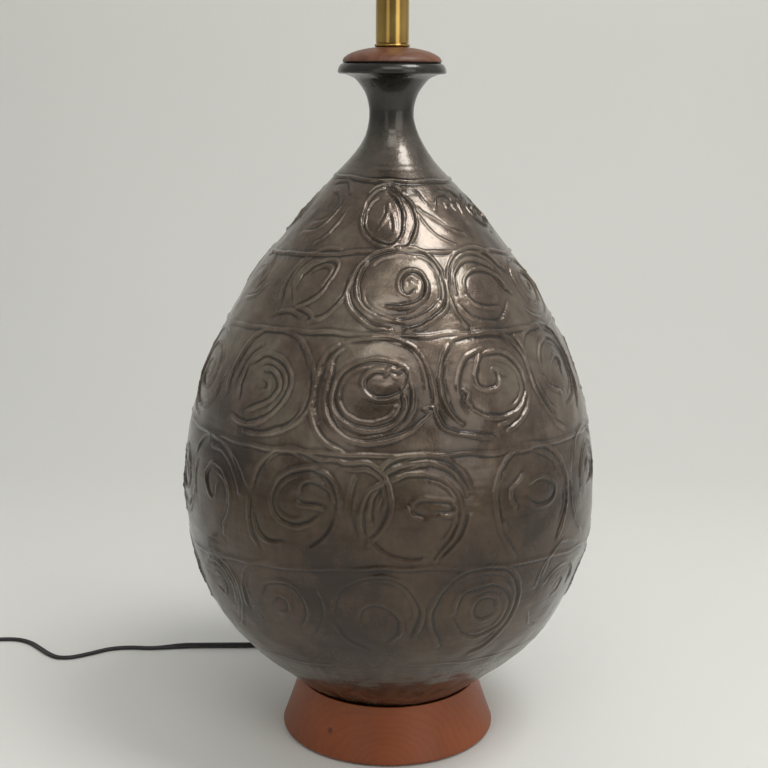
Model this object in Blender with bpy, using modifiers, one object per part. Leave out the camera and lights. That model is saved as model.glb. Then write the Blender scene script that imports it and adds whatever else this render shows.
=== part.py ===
"""Pottery table lamp: a glazed ceramic body between a walnut base and a walnut cap, clamped by a
hollow rod that carries a brass neck, a lampholder with a turn switch, and a harp with its finial.

Lengths are metres and +Z is up. The origin is on the lamp's axis, on the table. The lamp faces -Y.
"""

import math

import bmesh
import bpy
import numpy as np
from mathutils import Matrix, Vector
from mathutils.geometry import delaunay_2d_cdt

# Clearances shared by all the pieces
SEAT_GAP = 0.0003
OVERRUN = 0.0040
WELD_DISTANCE = 0.000001
MERGE_DISTANCE = 0.00001

# Felt pad
FELT_RADIUS = 0.0840
FELT_THICKNESS = 0.0015

# Walnut base
BASE_HEIGHT = 0.0432
BASE_FLOOR_RADIUS = 0.0880
BASE_TOP_RADIUS = 0.0740
BASE_EDGE_RADIUS = 0.0016
LIP_WIDTH = 0.0016
LIP_ROUND = 0.0005
DISH_DEPTH = 0.0065
DISH_COVE = 0.0040
RECESS_RADIUS = 0.0580
RECESS_DEPTH = 0.0203
CORD_EXIT_HEIGHT = 0.0110

# Hollow rod and the hardware that it clamps with
ROD_RADIUS = 0.0050
ROD_BORE_RADIUS = 0.0036
ROD_REACH_BELOW_NUT = 0.0008
ROD_REACH_IN_HUB = 0.0075
BASE_WASHER_RADIUS = 0.0160
BASE_WASHER_THICKNESS = 0.0015
BASE_NUT_FLATS = 0.0160
BASE_NUT_HEIGHT = 0.0040
SADDLE_NUT_FLATS = 0.0140
SADDLE_NUT_HEIGHT = 0.0040

# Gaskets under and over the ceramic
FOOT_GASKET_INNER_RADIUS = 0.0520
FOOT_GASKET_OUTER_RADIUS = 0.0610
FOOT_GASKET_THICKNESS = 0.0015
RIM_GASKET_INSET = 0.0012
RIM_GASKET_WIDTH = 0.0120
RIM_GASKET_THICKNESS = 0.0006

# Ceramic body, with heights above its foot
BODY_HEIGHT = 0.5030
FOOT_RADIUS = 0.0620
BELLY_RADIUS = 0.1653
BELLY_HEIGHT = 0.1694
WAIST_RADIUS = 0.0170
FLARE_REACH = 0.0200
FLARE_RISE = 0.0320
RIM_RADIUS = 0.0419
RIM_TOP_RADIUS = 0.0386
RIM_THICKNESS = 0.0080
BELLY_WALL = 0.0065
NECK_WALL = 0.0045
FLOOR_THICKNESS = 0.0080
LOWER_WALL_SHARES = (
    (0.000, 0.000),
    (0.058, 0.008),
    (0.089, 0.026),
    (0.238, 0.100),
    (0.398, 0.182),
    (0.600, 0.303),
    (0.777, 0.460),
    (0.900, 0.630),
    (0.971, 0.805),
    (1.000, 1.000),
)
UPPER_WALL_SHARES = (
    (0.990, 0.102),
    (0.930, 0.264),
    (0.864, 0.360),
    (0.766, 0.456),
    (0.653, 0.555),
    (0.518, 0.651),
    (0.360, 0.747),
    (0.209, 0.831),
    (0.100, 0.889),
    (0.036, 0.938),
    (0.010, 0.970),
    (0.000, 1.000),
)
BAND_WIDTH = 0.0050
BAND_RISE = 0.0015
BAND_HEIGHT_SHARES = (0.135, 0.293, 0.460, 0.617, 0.725, 0.828)
ROUNDEL_TURN_SHARES = (
    (0.070, 0.149, 0.227, 0.304, 0.383, 0.460, 0.538, 0.616, 0.694, 0.772, 0.849, 0.918, 0.990),
    (0.021, 0.111, 0.189, 0.275, 0.361, 0.447, 0.533, 0.619, 0.706, 0.792, 0.853, 0.931),
    (0.086, 0.172, 0.262, 0.352, 0.441, 0.531, 0.621, 0.710, 0.800, 0.892, 0.987),
    (0.015, 0.112, 0.201, 0.300, 0.403, 0.503, 0.603, 0.706, 0.806, 0.908),
    (0.119, 0.208, 0.339, 0.469, 0.600, 0.731, 0.861, 0.981),
)
ROUNDEL_SIZE_SHARE = 0.45
ROUNDEL_CORE_SHARE = 0.34
ROUNDEL_RIDGE_WIDTH = 0.0056
ROUNDEL_RISE = 0.0019
ROUNDEL_TURNS = 1.45
ROUNDEL_START_RATE = 5.0
ROUNDEL_WAY_RATE = 7.0
ROUNDEL_POINTS = 14
BETWEEN_ROUNDELS_SHARES = (0.25, 0.75)
CUT_POINT_SHARES = (0.25, 0.50, 0.75)

# Walnut cap
CAP_RADIUS = 0.0382
CAP_RISE = 0.0106
CAP_SEAT_RADIUS = 0.0146
SPIGOT_DEPTH = 0.0080
SPIGOT_CLEARANCE = 0.0004

# Brass ring, neck and neck cap
RING_RADIUS = 0.0137
RING_HEIGHT = 0.0027
TUBE_RADIUS = 0.0127
TUBE_WALL = 0.0010
TUBE_LENGTH = 0.0480
NECK_CAP_RADIUS = 0.0134
NECK_CAP_HEIGHT = 0.0040
NECK_CAP_SPIGOT = 0.0030

# Harp saddle, harp and its two sleeves
SADDLE_HALF_SPAN = 0.0270
SADDLE_ARM_HEIGHT = 0.0270
SADDLE_TAB_LENGTH = 0.0120
SADDLE_WIDTH = 0.0120
SADDLE_TAB_WIDTH = 0.0040
SADDLE_THICKNESS = 0.0015
SADDLE_BEND_RADIUS = 0.0030
WIRE_RADIUS = 0.0023
HARP_HEIGHT = 0.2030
HARP_HALF_WIDTH = 0.0570
HARP_LEG = 0.0340
HARP_OUTLINE_SHARES = (
    (0.22, 0.07),
    (0.78, 0.26),
    (1.00, 0.48),
    (0.93, 0.70),
    (0.62, 0.88),
)
HARP_SHOULDER_SHARE = 0.34
EYE_RADIUS = 0.0078
EYE_THICKNESS = 0.0036
EYE_FLAT_MARGIN = 0.0012
SLEEVE_LENGTH = 0.0170
SLEEVE_WALL = 0.0010
SLEEVE_BEAD = 0.0005

# Swivel stud and finial
STUD_SHANK_RADIUS = 0.0021
STUD_HEAD_RADIUS = 0.0040
STUD_HEAD_HEIGHT = 0.0014
FLANGE_RADIUS = 0.0085
FLANGE_THICKNESS = 0.0022
FLANGE_RECESS_DEPTH = 0.0002
FLANGE_RECESS_CLEARANCE = 0.0003
POST_RADIUS = 0.0031
POST_HEIGHT = 0.0110
FINIAL_HEIGHT = 0.0300
FINIAL_RADIUS = 0.0092
FINIAL_FOOT_RADIUS = 0.0070
FINIAL_WAIST_RADIUS = 0.0050
FINIAL_BORE_DEPTH = 0.0125

# Lampholder, with heights above the underside of its hub
HUB_RADIUS = 0.0076
HUB_HEIGHT = 0.0085
BOWL_FLOOR_RADIUS = 0.0140
SOCKET_CAP_HEIGHT = 0.0230
CASE_WALL = 0.0007
SHELL_RADIUS = 0.0170
SHELL_HEIGHT = 0.0450
SHELL_LAP = 0.0060
SHELL_MOUTH_BEAD = 0.0007
LINER_THICKNESS = 0.0006
INTERIOR_HEIGHT = 0.0260
INTERIOR_FOOT_RADIUS = 0.0122
INTERIOR_FOOT_HEIGHT = 0.0070
WIRE_CHANNEL_WIDTH = 0.0090
TERMINAL_POCKET_WIDTH = 0.0090
TERMINAL_POCKET_HEIGHT = 0.0100
TERMINAL_POCKET_DEPTH = 0.0042
SCREW_SHELL_INNER_RADIUS = 0.0133
SCREW_SHELL_WALL = 0.0005
SCREW_SHELL_HEIGHT = 0.0220
SCREW_SHELL_FLOOR_HOLE = 0.0056
CONTACT_THICKNESS = 0.0006
CONTACT_WIDTH = 0.0040
CONTACT_HALF_LENGTH = 0.0042
CONTACT_RISE = 0.0032
TERMINAL_HEAD_RADIUS = 0.0027
TERMINAL_HEAD_HEIGHT = 0.0015
TERMINAL_SHANK_RADIUS = 0.0014
TERMINAL_SHANK_LENGTH = 0.0040
SET_SCREW_RADIUS = 0.0015
SET_SCREW_HEAD_RADIUS = 0.0023
SET_SCREW_HEAD_HEIGHT = 0.0016

# Turn switch
SWITCH_HEIGHT = 0.0290
SWITCH_SHAFT_RADIUS = 0.0016
SWITCH_SHAFT_INNER_END = 0.0100
SWITCH_RUNNING_GAP = 0.0003
KNOB_RADIUS = 0.0062
KNOB_FLUTE_DEPTH = 0.0007
KNOB_FLUTES = 12
KNOB_LENGTH = 0.0130
KNOB_EDGE = 0.0006
KNOB_STANDOFF = 0.0012
KNOB_BORE_DEPTH = 0.0080

# Cord, its strain relief and its plug
CORD_RADIUS = 0.00265
CORD_REST_GAP = 0.0001
BUSHING_BODY_RADIUS = 0.0047
BUSHING_COLLAR_RADIUS = 0.0062
BUSHING_COLLAR_THICKNESS = 0.0020
BUSHING_TAPER_LENGTH = 0.0240
BUSHING_TIP_WALL = 0.0008
BUSHING_BORE_GAP = 0.0003
SPOT_FACE_DEPTH = 0.0042
CONDUCTOR_RADIUS = 0.0009
CORD_INSIDE_BEND = 0.0110
COIL_CENTRE = (-0.4371, 0.1130)
COIL_OUTER_RADIUS = 0.0414
COIL_PITCH = 0.0059
COIL_QUARTER_TURNS = 25
COIL_POINTS_PER_QUARTER = 6
PLUG_LENGTH = 0.0320
PLUG_WIDTH = 0.0240
PLUG_NECK_WIDTH = 0.0110
PLUG_THICKNESS = 0.0140
PLUG_EDGE = 0.0022
BLADE_LENGTH = 0.0160
BLADE_THICKNESS = 0.0015
BLADE_HEIGHT_HOT = 0.0064
BLADE_HEIGHT_NEUTRAL = 0.0079
BLADE_SPACING = 0.0127
BLADE_SEAT_DEPTH = 0.0060

# Facets round each kind of turned piece, and points between those that shape the ceramic's wall
BODY_STEPS = 48
WALL_POINTS_PER_SPAN = 12
WOOD_STEPS = 40
SMALL_STEPS = 24
TUBE_STEPS = 40
FINE_STEPS = 20
SCREW_STEPS = 16

# Heights of the seats, from the table up
BASE_BOTTOM = FELT_THICKNESS + SEAT_GAP
BASE_TOP = BASE_BOTTOM + BASE_HEIGHT
DISH_FLOOR = BASE_TOP - DISH_DEPTH
RECESS_CEILING = BASE_BOTTOM + RECESS_DEPTH
BASE_WASHER_SEAT = RECESS_CEILING - SEAT_GAP - BASE_WASHER_THICKNESS
BASE_NUT_SEAT = BASE_WASHER_SEAT - SEAT_GAP - BASE_NUT_HEIGHT
ROD_BOTTOM = BASE_NUT_SEAT - ROD_REACH_BELOW_NUT
FOOT_GASKET_SEAT = DISH_FLOOR + SEAT_GAP
BODY_SEAT = FOOT_GASKET_SEAT + FOOT_GASKET_THICKNESS + SEAT_GAP
RIM_TOP = BODY_SEAT + BODY_HEIGHT
RIM_GASKET_SEAT = RIM_TOP + SEAT_GAP
CAP_SEAT = RIM_GASKET_SEAT + RIM_GASKET_THICKNESS + SEAT_GAP
RING_SEAT = CAP_SEAT + CAP_RISE + SEAT_GAP
TUBE_SEAT = RING_SEAT + RING_HEIGHT + SEAT_GAP
NECK_CAP_SEAT = TUBE_SEAT + TUBE_LENGTH + SEAT_GAP
SADDLE_SEAT = NECK_CAP_SEAT + NECK_CAP_HEIGHT + SEAT_GAP
SADDLE_NUT_SEAT = SADDLE_SEAT + SADDLE_THICKNESS + SEAT_GAP
SOCKET_SEAT = SADDLE_NUT_SEAT + SADDLE_NUT_HEIGHT + SEAT_GAP
ROD_TOP = SOCKET_SEAT + ROD_REACH_IN_HUB
BOWL_FLOOR = SOCKET_SEAT + HUB_HEIGHT + CASE_WALL
INTERIOR_SEAT = BOWL_FLOOR + SEAT_GAP
SHELL_SEAT = SOCKET_SEAT + SOCKET_CAP_HEIGHT - SHELL_LAP
SCREW_SHELL_SEAT = INTERIOR_SEAT + INTERIOR_HEIGHT + SEAT_GAP
SWITCH_AXIS = SOCKET_SEAT + SWITCH_HEIGHT
TERMINAL_AXIS = SOCKET_SEAT + HUB_HEIGHT + TERMINAL_POCKET_HEIGHT + CASE_WALL
SADDLE_TIP = SADDLE_SEAT + SADDLE_ARM_HEIGHT
HARP_SEAT = SADDLE_TIP + SEAT_GAP
SLEEVE_SEAT = SADDLE_TIP - SADDLE_TAB_LENGTH + SEAT_GAP
EYE_CENTRE = HARP_SEAT + HARP_HEIGHT

# Sizes that follow from the ones above
RIM_UNDERSIDE = BODY_HEIGHT - RIM_THICKNESS
WAIST_HEIGHT = RIM_UNDERSIDE - FLARE_RISE
ROD_HOLE_RADIUS = ROD_RADIUS + SEAT_GAP
MOUTH_RADIUS = WAIST_RADIUS - NECK_WALL
LINER_OUTER_RADIUS = SHELL_RADIUS - CASE_WALL - SEAT_GAP
INTERIOR_RADIUS = LINER_OUTER_RADIUS - LINER_THICKNESS - SEAT_GAP
SOCKET_CAP_RADIUS = SHELL_RADIUS + SEAT_GAP + CASE_WALL
CORD_REST_HEIGHT = CORD_RADIUS + CORD_REST_GAP
BUSHING_BORE_RADIUS = CORD_RADIUS + BUSHING_BORE_GAP
SWITCH_HOLE_RADIUS = SWITCH_SHAFT_RADIUS + SWITCH_RUNNING_GAP


def base_side_radius(height):
    """Radius of the base's straight flared side at a height above the table."""
    share = (height - BASE_BOTTOM) / BASE_HEIGHT
    return BASE_FLOOR_RADIUS + share * (BASE_TOP_RADIUS - BASE_FLOOR_RADIUS)


SPOT_FACE_Y = base_side_radius(CORD_EXIT_HEIGHT) - SPOT_FACE_DEPTH
BUSHING_TIP_Y = SPOT_FACE_Y + SEAT_GAP + BUSHING_COLLAR_THICKNESS + BUSHING_TAPER_LENGTH
CORD_START_Y = BUSHING_TIP_Y + SEAT_GAP
CORD_END_X = COIL_CENTRE[0] + 2 * CORD_RADIUS + SEAT_GAP
CORD_END_Y = COIL_CENTRE[1] + COIL_OUTER_RADIUS

# The cord's route along the table, behind the lamp and out to the left
CORD_ROUTE = (
    (0.0000, CORD_START_Y, CORD_EXIT_HEIGHT),
    (0.0000, 0.1240, 0.0106),
    (-0.0020, 0.1400, 0.0070),
    (-0.0110, 0.1560, 0.0036),
    (-0.0300, 0.1660, CORD_REST_HEIGHT),
    (-0.0560, 0.1650, CORD_REST_HEIGHT),
    (-0.0820, 0.1570, CORD_REST_HEIGHT),
    (-0.1080, 0.1500, CORD_REST_HEIGHT),
    (-0.1319, 0.1475, CORD_REST_HEIGHT),
    (-0.1700, 0.1462, CORD_REST_HEIGHT),
    (-0.2000, 0.1445, CORD_REST_HEIGHT),
    (-0.2265, 0.1416, CORD_REST_HEIGHT),
    (-0.2460, 0.1424, CORD_REST_HEIGHT),
    (-0.2640, 0.1386, CORD_REST_HEIGHT),
    (-0.2806, 0.1277, CORD_REST_HEIGHT),
    (-0.2960, 0.1190, CORD_REST_HEIGHT),
    (-0.3090, 0.1187, CORD_REST_HEIGHT),
    (-0.3200, 0.1270, CORD_REST_HEIGHT),
    (-0.3310, 0.1394, CORD_REST_HEIGHT),
    (-0.3430, 0.1520, CORD_REST_HEIGHT),
    (-0.3570, 0.1595, CORD_REST_HEIGHT),
    (-0.3742, 0.1600, CORD_REST_HEIGHT),
    (-0.3950, 0.1570, CORD_REST_HEIGHT),
    (-0.4150, 0.1549, CORD_REST_HEIGHT),
    (CORD_END_X, CORD_END_Y, CORD_REST_HEIGHT),
)
CORD_POINT_SPACING = 0.0120


# Scene, materials and the ways in which the pieces are made

for existing in list(bpy.data.objects):
    bpy.data.objects.remove(existing, do_unlink=True)

lamp = bpy.data.collections.new("pottery_table_lamp")
cutters = bpy.data.collections.new("cutters")
bpy.context.scene.collection.children.link(lamp)
bpy.context.scene.collection.children.link(cutters)


def material(name, red, green, blue, roughness, metallic=0.0):
    """A Principled material with one colour."""
    made = bpy.data.materials.new(name)
    made.use_nodes = True
    shader = made.node_tree.nodes["Principled BSDF"]
    shader.inputs["Base Color"].default_value = (red, green, blue, 1.0)
    shader.inputs["Roughness"].default_value = roughness
    shader.inputs["Metallic"].default_value = metallic
    made.diffuse_color = (red, green, blue, 1.0)
    return made


WALNUT = material("oiled_walnut", 0.18, 0.06, 0.025, 0.45)
GLAZE = material("pewter_glaze", 0.07, 0.06, 0.05, 0.35, 0.4)
BRASS = material("polished_brass", 0.60, 0.42, 0.16, 0.22, 1.0)
STEEL = material("zinc_plated_steel", 0.55, 0.56, 0.58, 0.35, 1.0)
FELT = material("black_felt", 0.02, 0.02, 0.02, 0.95)
RUBBER = material("black_rubber", 0.015, 0.015, 0.015, 0.80)
CARD = material("fibre_card", 0.10, 0.09, 0.07, 0.85)
PHENOLIC = material("black_phenolic", 0.02, 0.02, 0.02, 0.40)
ALUMINIUM = material("screw_shell_aluminium", 0.75, 0.75, 0.76, 0.35, 1.0)
VINYL = material("black_vinyl", 0.02, 0.02, 0.02, 0.45)


def put_in(collection, obj):
    """Moves an object into one collection."""
    for owner in list(obj.users_collection):
        owner.objects.unlink(obj)
    collection.objects.link(obj)
    return obj


def mesh_object(name, mesh, stuff):
    obj = bpy.data.objects.new(name, mesh)
    lamp.objects.link(obj)
    if stuff is not None:
        mesh.materials.append(stuff)
    return obj


def turned(name, profile, stuff, steps=SMALL_STEPS, closed=True):
    """A lathe form: the profile's (radius, height) points spun about Z.

    The profile runs down the outer side. A closed one makes a ring, and an open one starts and
    ends on the axis.
    """
    mesh = bpy.data.meshes.new(name)
    count = len(profile)
    edges = [(i, i + 1) for i in range(count - 1)]
    if closed:
        edges.append((count - 1, 0))
    mesh.from_pydata([(r, 0.0, z) for r, z in profile], edges, [])
    obj = mesh_object(name, mesh, stuff)
    spin = obj.modifiers.new("Spin", "SCREW")
    spin.axis = "Z"
    spin.angle = math.tau
    spin.steps = steps
    spin.render_steps = steps
    spin.use_merge_vertices = True
    spin.merge_threshold = MERGE_DISTANCE
    return obj


def ring_profile(inner, outer, bottom, top):
    """A rectangle as a closed profile."""
    return [(outer, top), (outer, bottom), (inner, bottom), (inner, top)]


def tube(name, points, radius, stuff, resolution=2):
    """A round wire or cord along the points, with closed ends."""
    curve = bpy.data.curves.new(name, "CURVE")
    curve.dimensions = "3D"
    curve.bevel_depth = radius
    curve.bevel_resolution = resolution
    curve.use_fill_caps = True
    spline = curve.splines.new("POLY")
    spline.points.add(len(points) - 1)
    for point, place in zip(spline.points, points):
        point.co = (*place, 1.0)
    curve.materials.append(stuff)
    obj = bpy.data.objects.new(name, curve)
    lamp.objects.link(obj)
    return obj


def plate(name, outline, thickness, stuff, edge=0.0, roundness=1):
    """A flat outline with a thickness, and edges of radius edge where it is given."""
    curve = bpy.data.curves.new(name, "CURVE")
    curve.dimensions = "2D"
    curve.fill_mode = "BOTH"
    curve.extrude = thickness / 2 - edge
    curve.bevel_depth = edge
    curve.bevel_resolution = roundness
    curve.offset = -edge
    spline = curve.splines.new("POLY")
    spline.points.add(len(outline) - 1)
    for point, (x, y) in zip(spline.points, outline):
        point.co = (x, y, 0.0, 1.0)
    spline.use_cyclic_u = True
    curve.materials.append(stuff)
    obj = bpy.data.objects.new(name, curve)
    lamp.objects.link(obj)
    return obj


def as_mesh(obj):
    """The same object with a mesh in place of its curve, its caps welded to its sides."""
    bpy.context.view_layer.update()
    graph = bpy.context.evaluated_depsgraph_get()
    mesh = bpy.data.meshes.new_from_object(obj.evaluated_get(graph))
    work = bmesh.new()
    work.from_mesh(mesh)
    bmesh.ops.remove_doubles(work, verts=work.verts, dist=WELD_DISTANCE)
    bmesh.ops.recalc_face_normals(work, faces=work.faces)
    work.to_mesh(mesh)
    work.free()
    name = obj.name
    place = obj.matrix_world.copy()
    bpy.data.objects.remove(obj, do_unlink=True)
    made = bpy.data.objects.new(name, mesh)
    made.matrix_world = place
    lamp.objects.link(made)
    return made


def cylinder(name, radius, depth, centre, axis="Z", steps=SMALL_STEPS):
    """A plain cylinder about a centre, along one of the three axes."""
    mesh = bpy.data.meshes.new(name)
    work = bmesh.new()
    bmesh.ops.create_cone(
        work,
        cap_ends=True,
        segments=steps,
        radius1=radius,
        radius2=radius,
        depth=depth,
    )
    work.to_mesh(mesh)
    work.free()
    obj = mesh_object(name, mesh, None)
    turns = {
        "X": (0.0, math.pi / 2, 0.0),
        "Y": (-math.pi / 2, 0.0, 0.0),
        "Z": (0.0, 0.0, 0.0),
    }
    obj.rotation_euler = turns[axis]
    obj.location = centre
    return obj


def block(name, size, centre, stuff=None):
    """A box of the given size about a centre."""
    mesh = bpy.data.meshes.new(name)
    work = bmesh.new()
    bmesh.ops.create_cube(work, size=1.0)
    bmesh.ops.scale(work, vec=Vector(size), verts=work.verts)
    work.to_mesh(mesh)
    work.free()
    obj = mesh_object(name, mesh, stuff)
    obj.location = centre
    return obj


def cut(piece, cutter, operation="DIFFERENCE"):
    """A Boolean of the piece with a cutter, which stays in the scene as a hidden guide."""
    put_in(cutters, cutter)
    cutter.hide_render = True
    cutter.display_type = "WIRE"
    boolean = piece.modifiers.new(cutter.name, "BOOLEAN")
    boolean.operation = operation
    boolean.solver = "EXACT"
    boolean.object = cutter
    return piece


def arc(centre_r, centre_z, radius_r, radius_z, start, end, steps):
    """Points along an elliptical arc, angles in degrees from +radius towards +height."""
    angles = np.radians(np.linspace(start, end, steps + 1))
    return [
        (centre_r + radius_r * math.cos(a), centre_z + radius_z * math.sin(a))
        for a in angles
    ]


def smooth_line(points, per_span):
    """Points read from a Catmull-Rom curve through the given points, per_span for each span."""
    given = np.array(points, dtype=float)
    ends = np.vstack([2 * given[0] - given[1], given, 2 * given[-1] - given[-2]])
    t = np.linspace(0.0, 1.0, per_span, endpoint=False)[:, None]
    read = []
    for before, start, end, after in zip(ends, ends[1:], ends[2:], ends[3:]):
        bend = 2 * before - 5 * start + 4 * end - after
        twist = 3 * start - before - 3 * end + after
        read.append(start + 0.5 * (t * (end - before) + t**2 * bend + t**3 * twist))
    read.append(given[-1:])
    return np.vstack(read)


def spaced(points, spacing):
    """The same line with its points about one spacing apart."""
    steps = np.linalg.norm(np.diff(points, axis=0), axis=1)
    along = np.concatenate([[0.0], np.cumsum(steps)])
    count = max(2, round(along[-1] / spacing))
    wanted = np.linspace(0.0, along[-1], count + 1)
    return np.stack([np.interp(wanted, along, points[:, k]) for k in range(points.shape[1])], 1)


def line_length(points):
    return float(np.linalg.norm(np.diff(np.array(points), axis=0), axis=1).sum())


# Felt pad under the base

turned("felt_pad", [(0.0, FELT_THICKNESS), (FELT_RADIUS, FELT_THICKNESS), (FELT_RADIUS, 0.0), (0.0, 0.0)],
       FELT, WOOD_STEPS, closed=False)


# Walnut base: a flared ring of wood with a dished top, a recess below for the nut and the cord,
# and a spot-faced hole at the back for the strain relief

dish_rim_radius = BASE_TOP_RADIUS - LIP_WIDTH
dish_floor_radius = dish_rim_radius - DISH_COVE
edge_centre = BASE_FLOOR_RADIUS - BASE_EDGE_RADIUS
base_profile = [
    (dish_rim_radius + LIP_ROUND, BASE_TOP),
    (BASE_TOP_RADIUS - LIP_ROUND, BASE_TOP),
    (BASE_TOP_RADIUS, BASE_TOP - LIP_ROUND),
]
base_profile += arc(edge_centre, BASE_BOTTOM + BASE_EDGE_RADIUS, BASE_EDGE_RADIUS, BASE_EDGE_RADIUS, 0, -90, 3)
base_profile += [
    (RECESS_RADIUS, BASE_BOTTOM),
    (RECESS_RADIUS, RECESS_CEILING),
    (ROD_HOLE_RADIUS, RECESS_CEILING),
    (ROD_HOLE_RADIUS, DISH_FLOOR),
]
base_profile += arc(dish_floor_radius, DISH_FLOOR + DISH_DEPTH - LIP_ROUND, DISH_COVE,
                    DISH_DEPTH - LIP_ROUND, -90, 0, 4)
walnut_base = turned("walnut_base", base_profile, WALNUT, WOOD_STEPS)
hole_length = SPOT_FACE_Y - RECESS_RADIUS + 2 * OVERRUN
hole_middle = (SPOT_FACE_Y + RECESS_RADIUS) / 2
cut(walnut_base, cylinder("base_cord_hole", BUSHING_BODY_RADIUS + SEAT_GAP, hole_length,
                          (0.0, hole_middle, CORD_EXIT_HEIGHT), "Y", SMALL_STEPS))
spot_depth = SPOT_FACE_DEPTH + 2 * OVERRUN
cut(walnut_base, cylinder("base_spot_face", BUSHING_COLLAR_RADIUS + SEAT_GAP, spot_depth,
                          (0.0, SPOT_FACE_Y + spot_depth / 2, CORD_EXIT_HEIGHT), "Y", SMALL_STEPS))


# Washer and hexagon nuts on the rod

def hexagon_nut(name, flats, height, seat):
    """A hexagon nut on the lamp's axis, its bore clear of the rod's thread."""
    corner_radius = flats / 2 / math.cos(math.pi / 6)
    nut = cylinder(name, corner_radius, height, (0.0, 0.0, seat + height / 2), "Z", 6)
    nut.data.materials.append(STEEL)
    bore = cylinder(name + "_bore", ROD_HOLE_RADIUS, height + 2 * OVERRUN,
                    (0.0, 0.0, seat + height / 2))
    return cut(nut, bore)


washer_top = BASE_WASHER_SEAT + BASE_WASHER_THICKNESS
turned("base_washer", ring_profile(ROD_HOLE_RADIUS, BASE_WASHER_RADIUS, BASE_WASHER_SEAT, washer_top), STEEL)
hexagon_nut("base_nut", BASE_NUT_FLATS, BASE_NUT_HEIGHT, BASE_NUT_SEAT)
hexagon_nut("saddle_nut", SADDLE_NUT_FLATS, SADDLE_NUT_HEIGHT, SADDLE_NUT_SEAT)


# Hollow rod from the recess to the lampholder's hub

turned("threaded_rod", ring_profile(ROD_BORE_RADIUS, ROD_RADIUS, ROD_BOTTOM, ROD_TOP), STEEL, SMALL_STEPS)


# Gaskets

turned("foot_gasket", ring_profile(FOOT_GASKET_INNER_RADIUS, FOOT_GASKET_OUTER_RADIUS, FOOT_GASKET_SEAT,
                                   FOOT_GASKET_SEAT + FOOT_GASKET_THICKNESS), RUBBER, WOOD_STEPS)
rim_gasket_radius = CAP_RADIUS - RIM_GASKET_INSET
turned("rim_gasket", ring_profile(rim_gasket_radius - RIM_GASKET_WIDTH, rim_gasket_radius, RIM_GASKET_SEAT,
                                  RIM_GASKET_SEAT + RIM_GASKET_THICKNESS), RUBBER, WOOD_STEPS)


# Ceramic body: a thrown vessel with an even wall, raised lines round its belly with rows of coiled
# roundels between them, a flared rim and a hole for the rod in its foot

def wall_points():
    """Hand-chosen points up the outer wall, from the foot's edge to the neck's waist."""
    swell = BELLY_RADIUS - FOOT_RADIUS
    shrink = BELLY_RADIUS - WAIST_RADIUS
    climb = WAIST_HEIGHT - BELLY_HEIGHT
    lower = [(FOOT_RADIUS + r * swell, z * BELLY_HEIGHT) for r, z in LOWER_WALL_SHARES]
    upper = [(WAIST_RADIUS + r * shrink, BELLY_HEIGHT + z * climb) for r, z in UPPER_WALL_SHARES]
    return lower + upper


wall_line = smooth_line(wall_points(), WALL_POINTS_PER_SPAN)
wall_steps = np.linalg.norm(np.diff(wall_line, axis=0), axis=1)
wall_along = np.concatenate([[0.0], np.cumsum(wall_steps)])
wall_slope = np.gradient(wall_line, axis=0)
wall_slope /= np.linalg.norm(wall_slope, axis=1)[:, None]
body_points = []
body_faces = []


def at_height(height, values):
    """A value that runs up the outer wall, read at a height."""
    return float(np.interp(height, wall_line[:, 1], values))


def on_wall(turn, along, rise=0.0):
    """A point at an angle round from the front and a distance up the outer wall, raised from it."""
    radius, height = (np.interp(along, wall_along, wall_line[:, k]) for k in (0, 1))
    out = np.interp(along, wall_along, wall_slope[:, 1])
    down = np.interp(along, wall_along, wall_slope[:, 0])
    radius += rise * out
    return (radius * math.sin(turn), -radius * math.cos(turn), height - rise * down)


def body_ring(radius, height):
    """Adds a ring of points to the body and gives their numbers."""
    first = len(body_points)
    for step in range(BODY_STEPS):
        turn = math.tau * step / BODY_STEPS
        body_points.append((radius * math.sin(turn), -radius * math.cos(turn), height))
    return list(range(first, first + BODY_STEPS))


def body_strip(lower, upper):
    """Adds the faces between two rings, the second further along the body's outline."""
    for step in range(BODY_STEPS):
        after = (step + 1) % BODY_STEPS
        body_faces.append((lower[step], lower[after], upper[after], upper[step]))


def coil_chains(size, turn):
    """A flat coil's crest and the two feet of its ridge, as points about the coil's centre. Where
    it starts and which way it runs go by its angle round the body."""
    way = 1 if math.sin(ROUNDEL_WAY_RATE * turn) > 0 else -1
    share = np.linspace(0.0, 1.0, ROUNDEL_POINTS)
    angle = ROUNDEL_START_RATE * turn + way * math.tau * ROUNDEL_TURNS * share
    radius = size * (1 - (1 - ROUNDEL_CORE_SHARE) * share)
    crest = np.stack([radius * np.cos(angle), radius * np.sin(angle)], 1)
    ahead = np.gradient(crest, axis=0)
    ahead /= np.linalg.norm(ahead, axis=1)[:, None]
    aside = np.stack([-ahead[:, 1], ahead[:, 0]], 1) * ROUNDEL_RIDGE_WIDTH / 2
    return crest, (crest + aside)[1:-1], (crest - aside)[1:-1]


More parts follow.
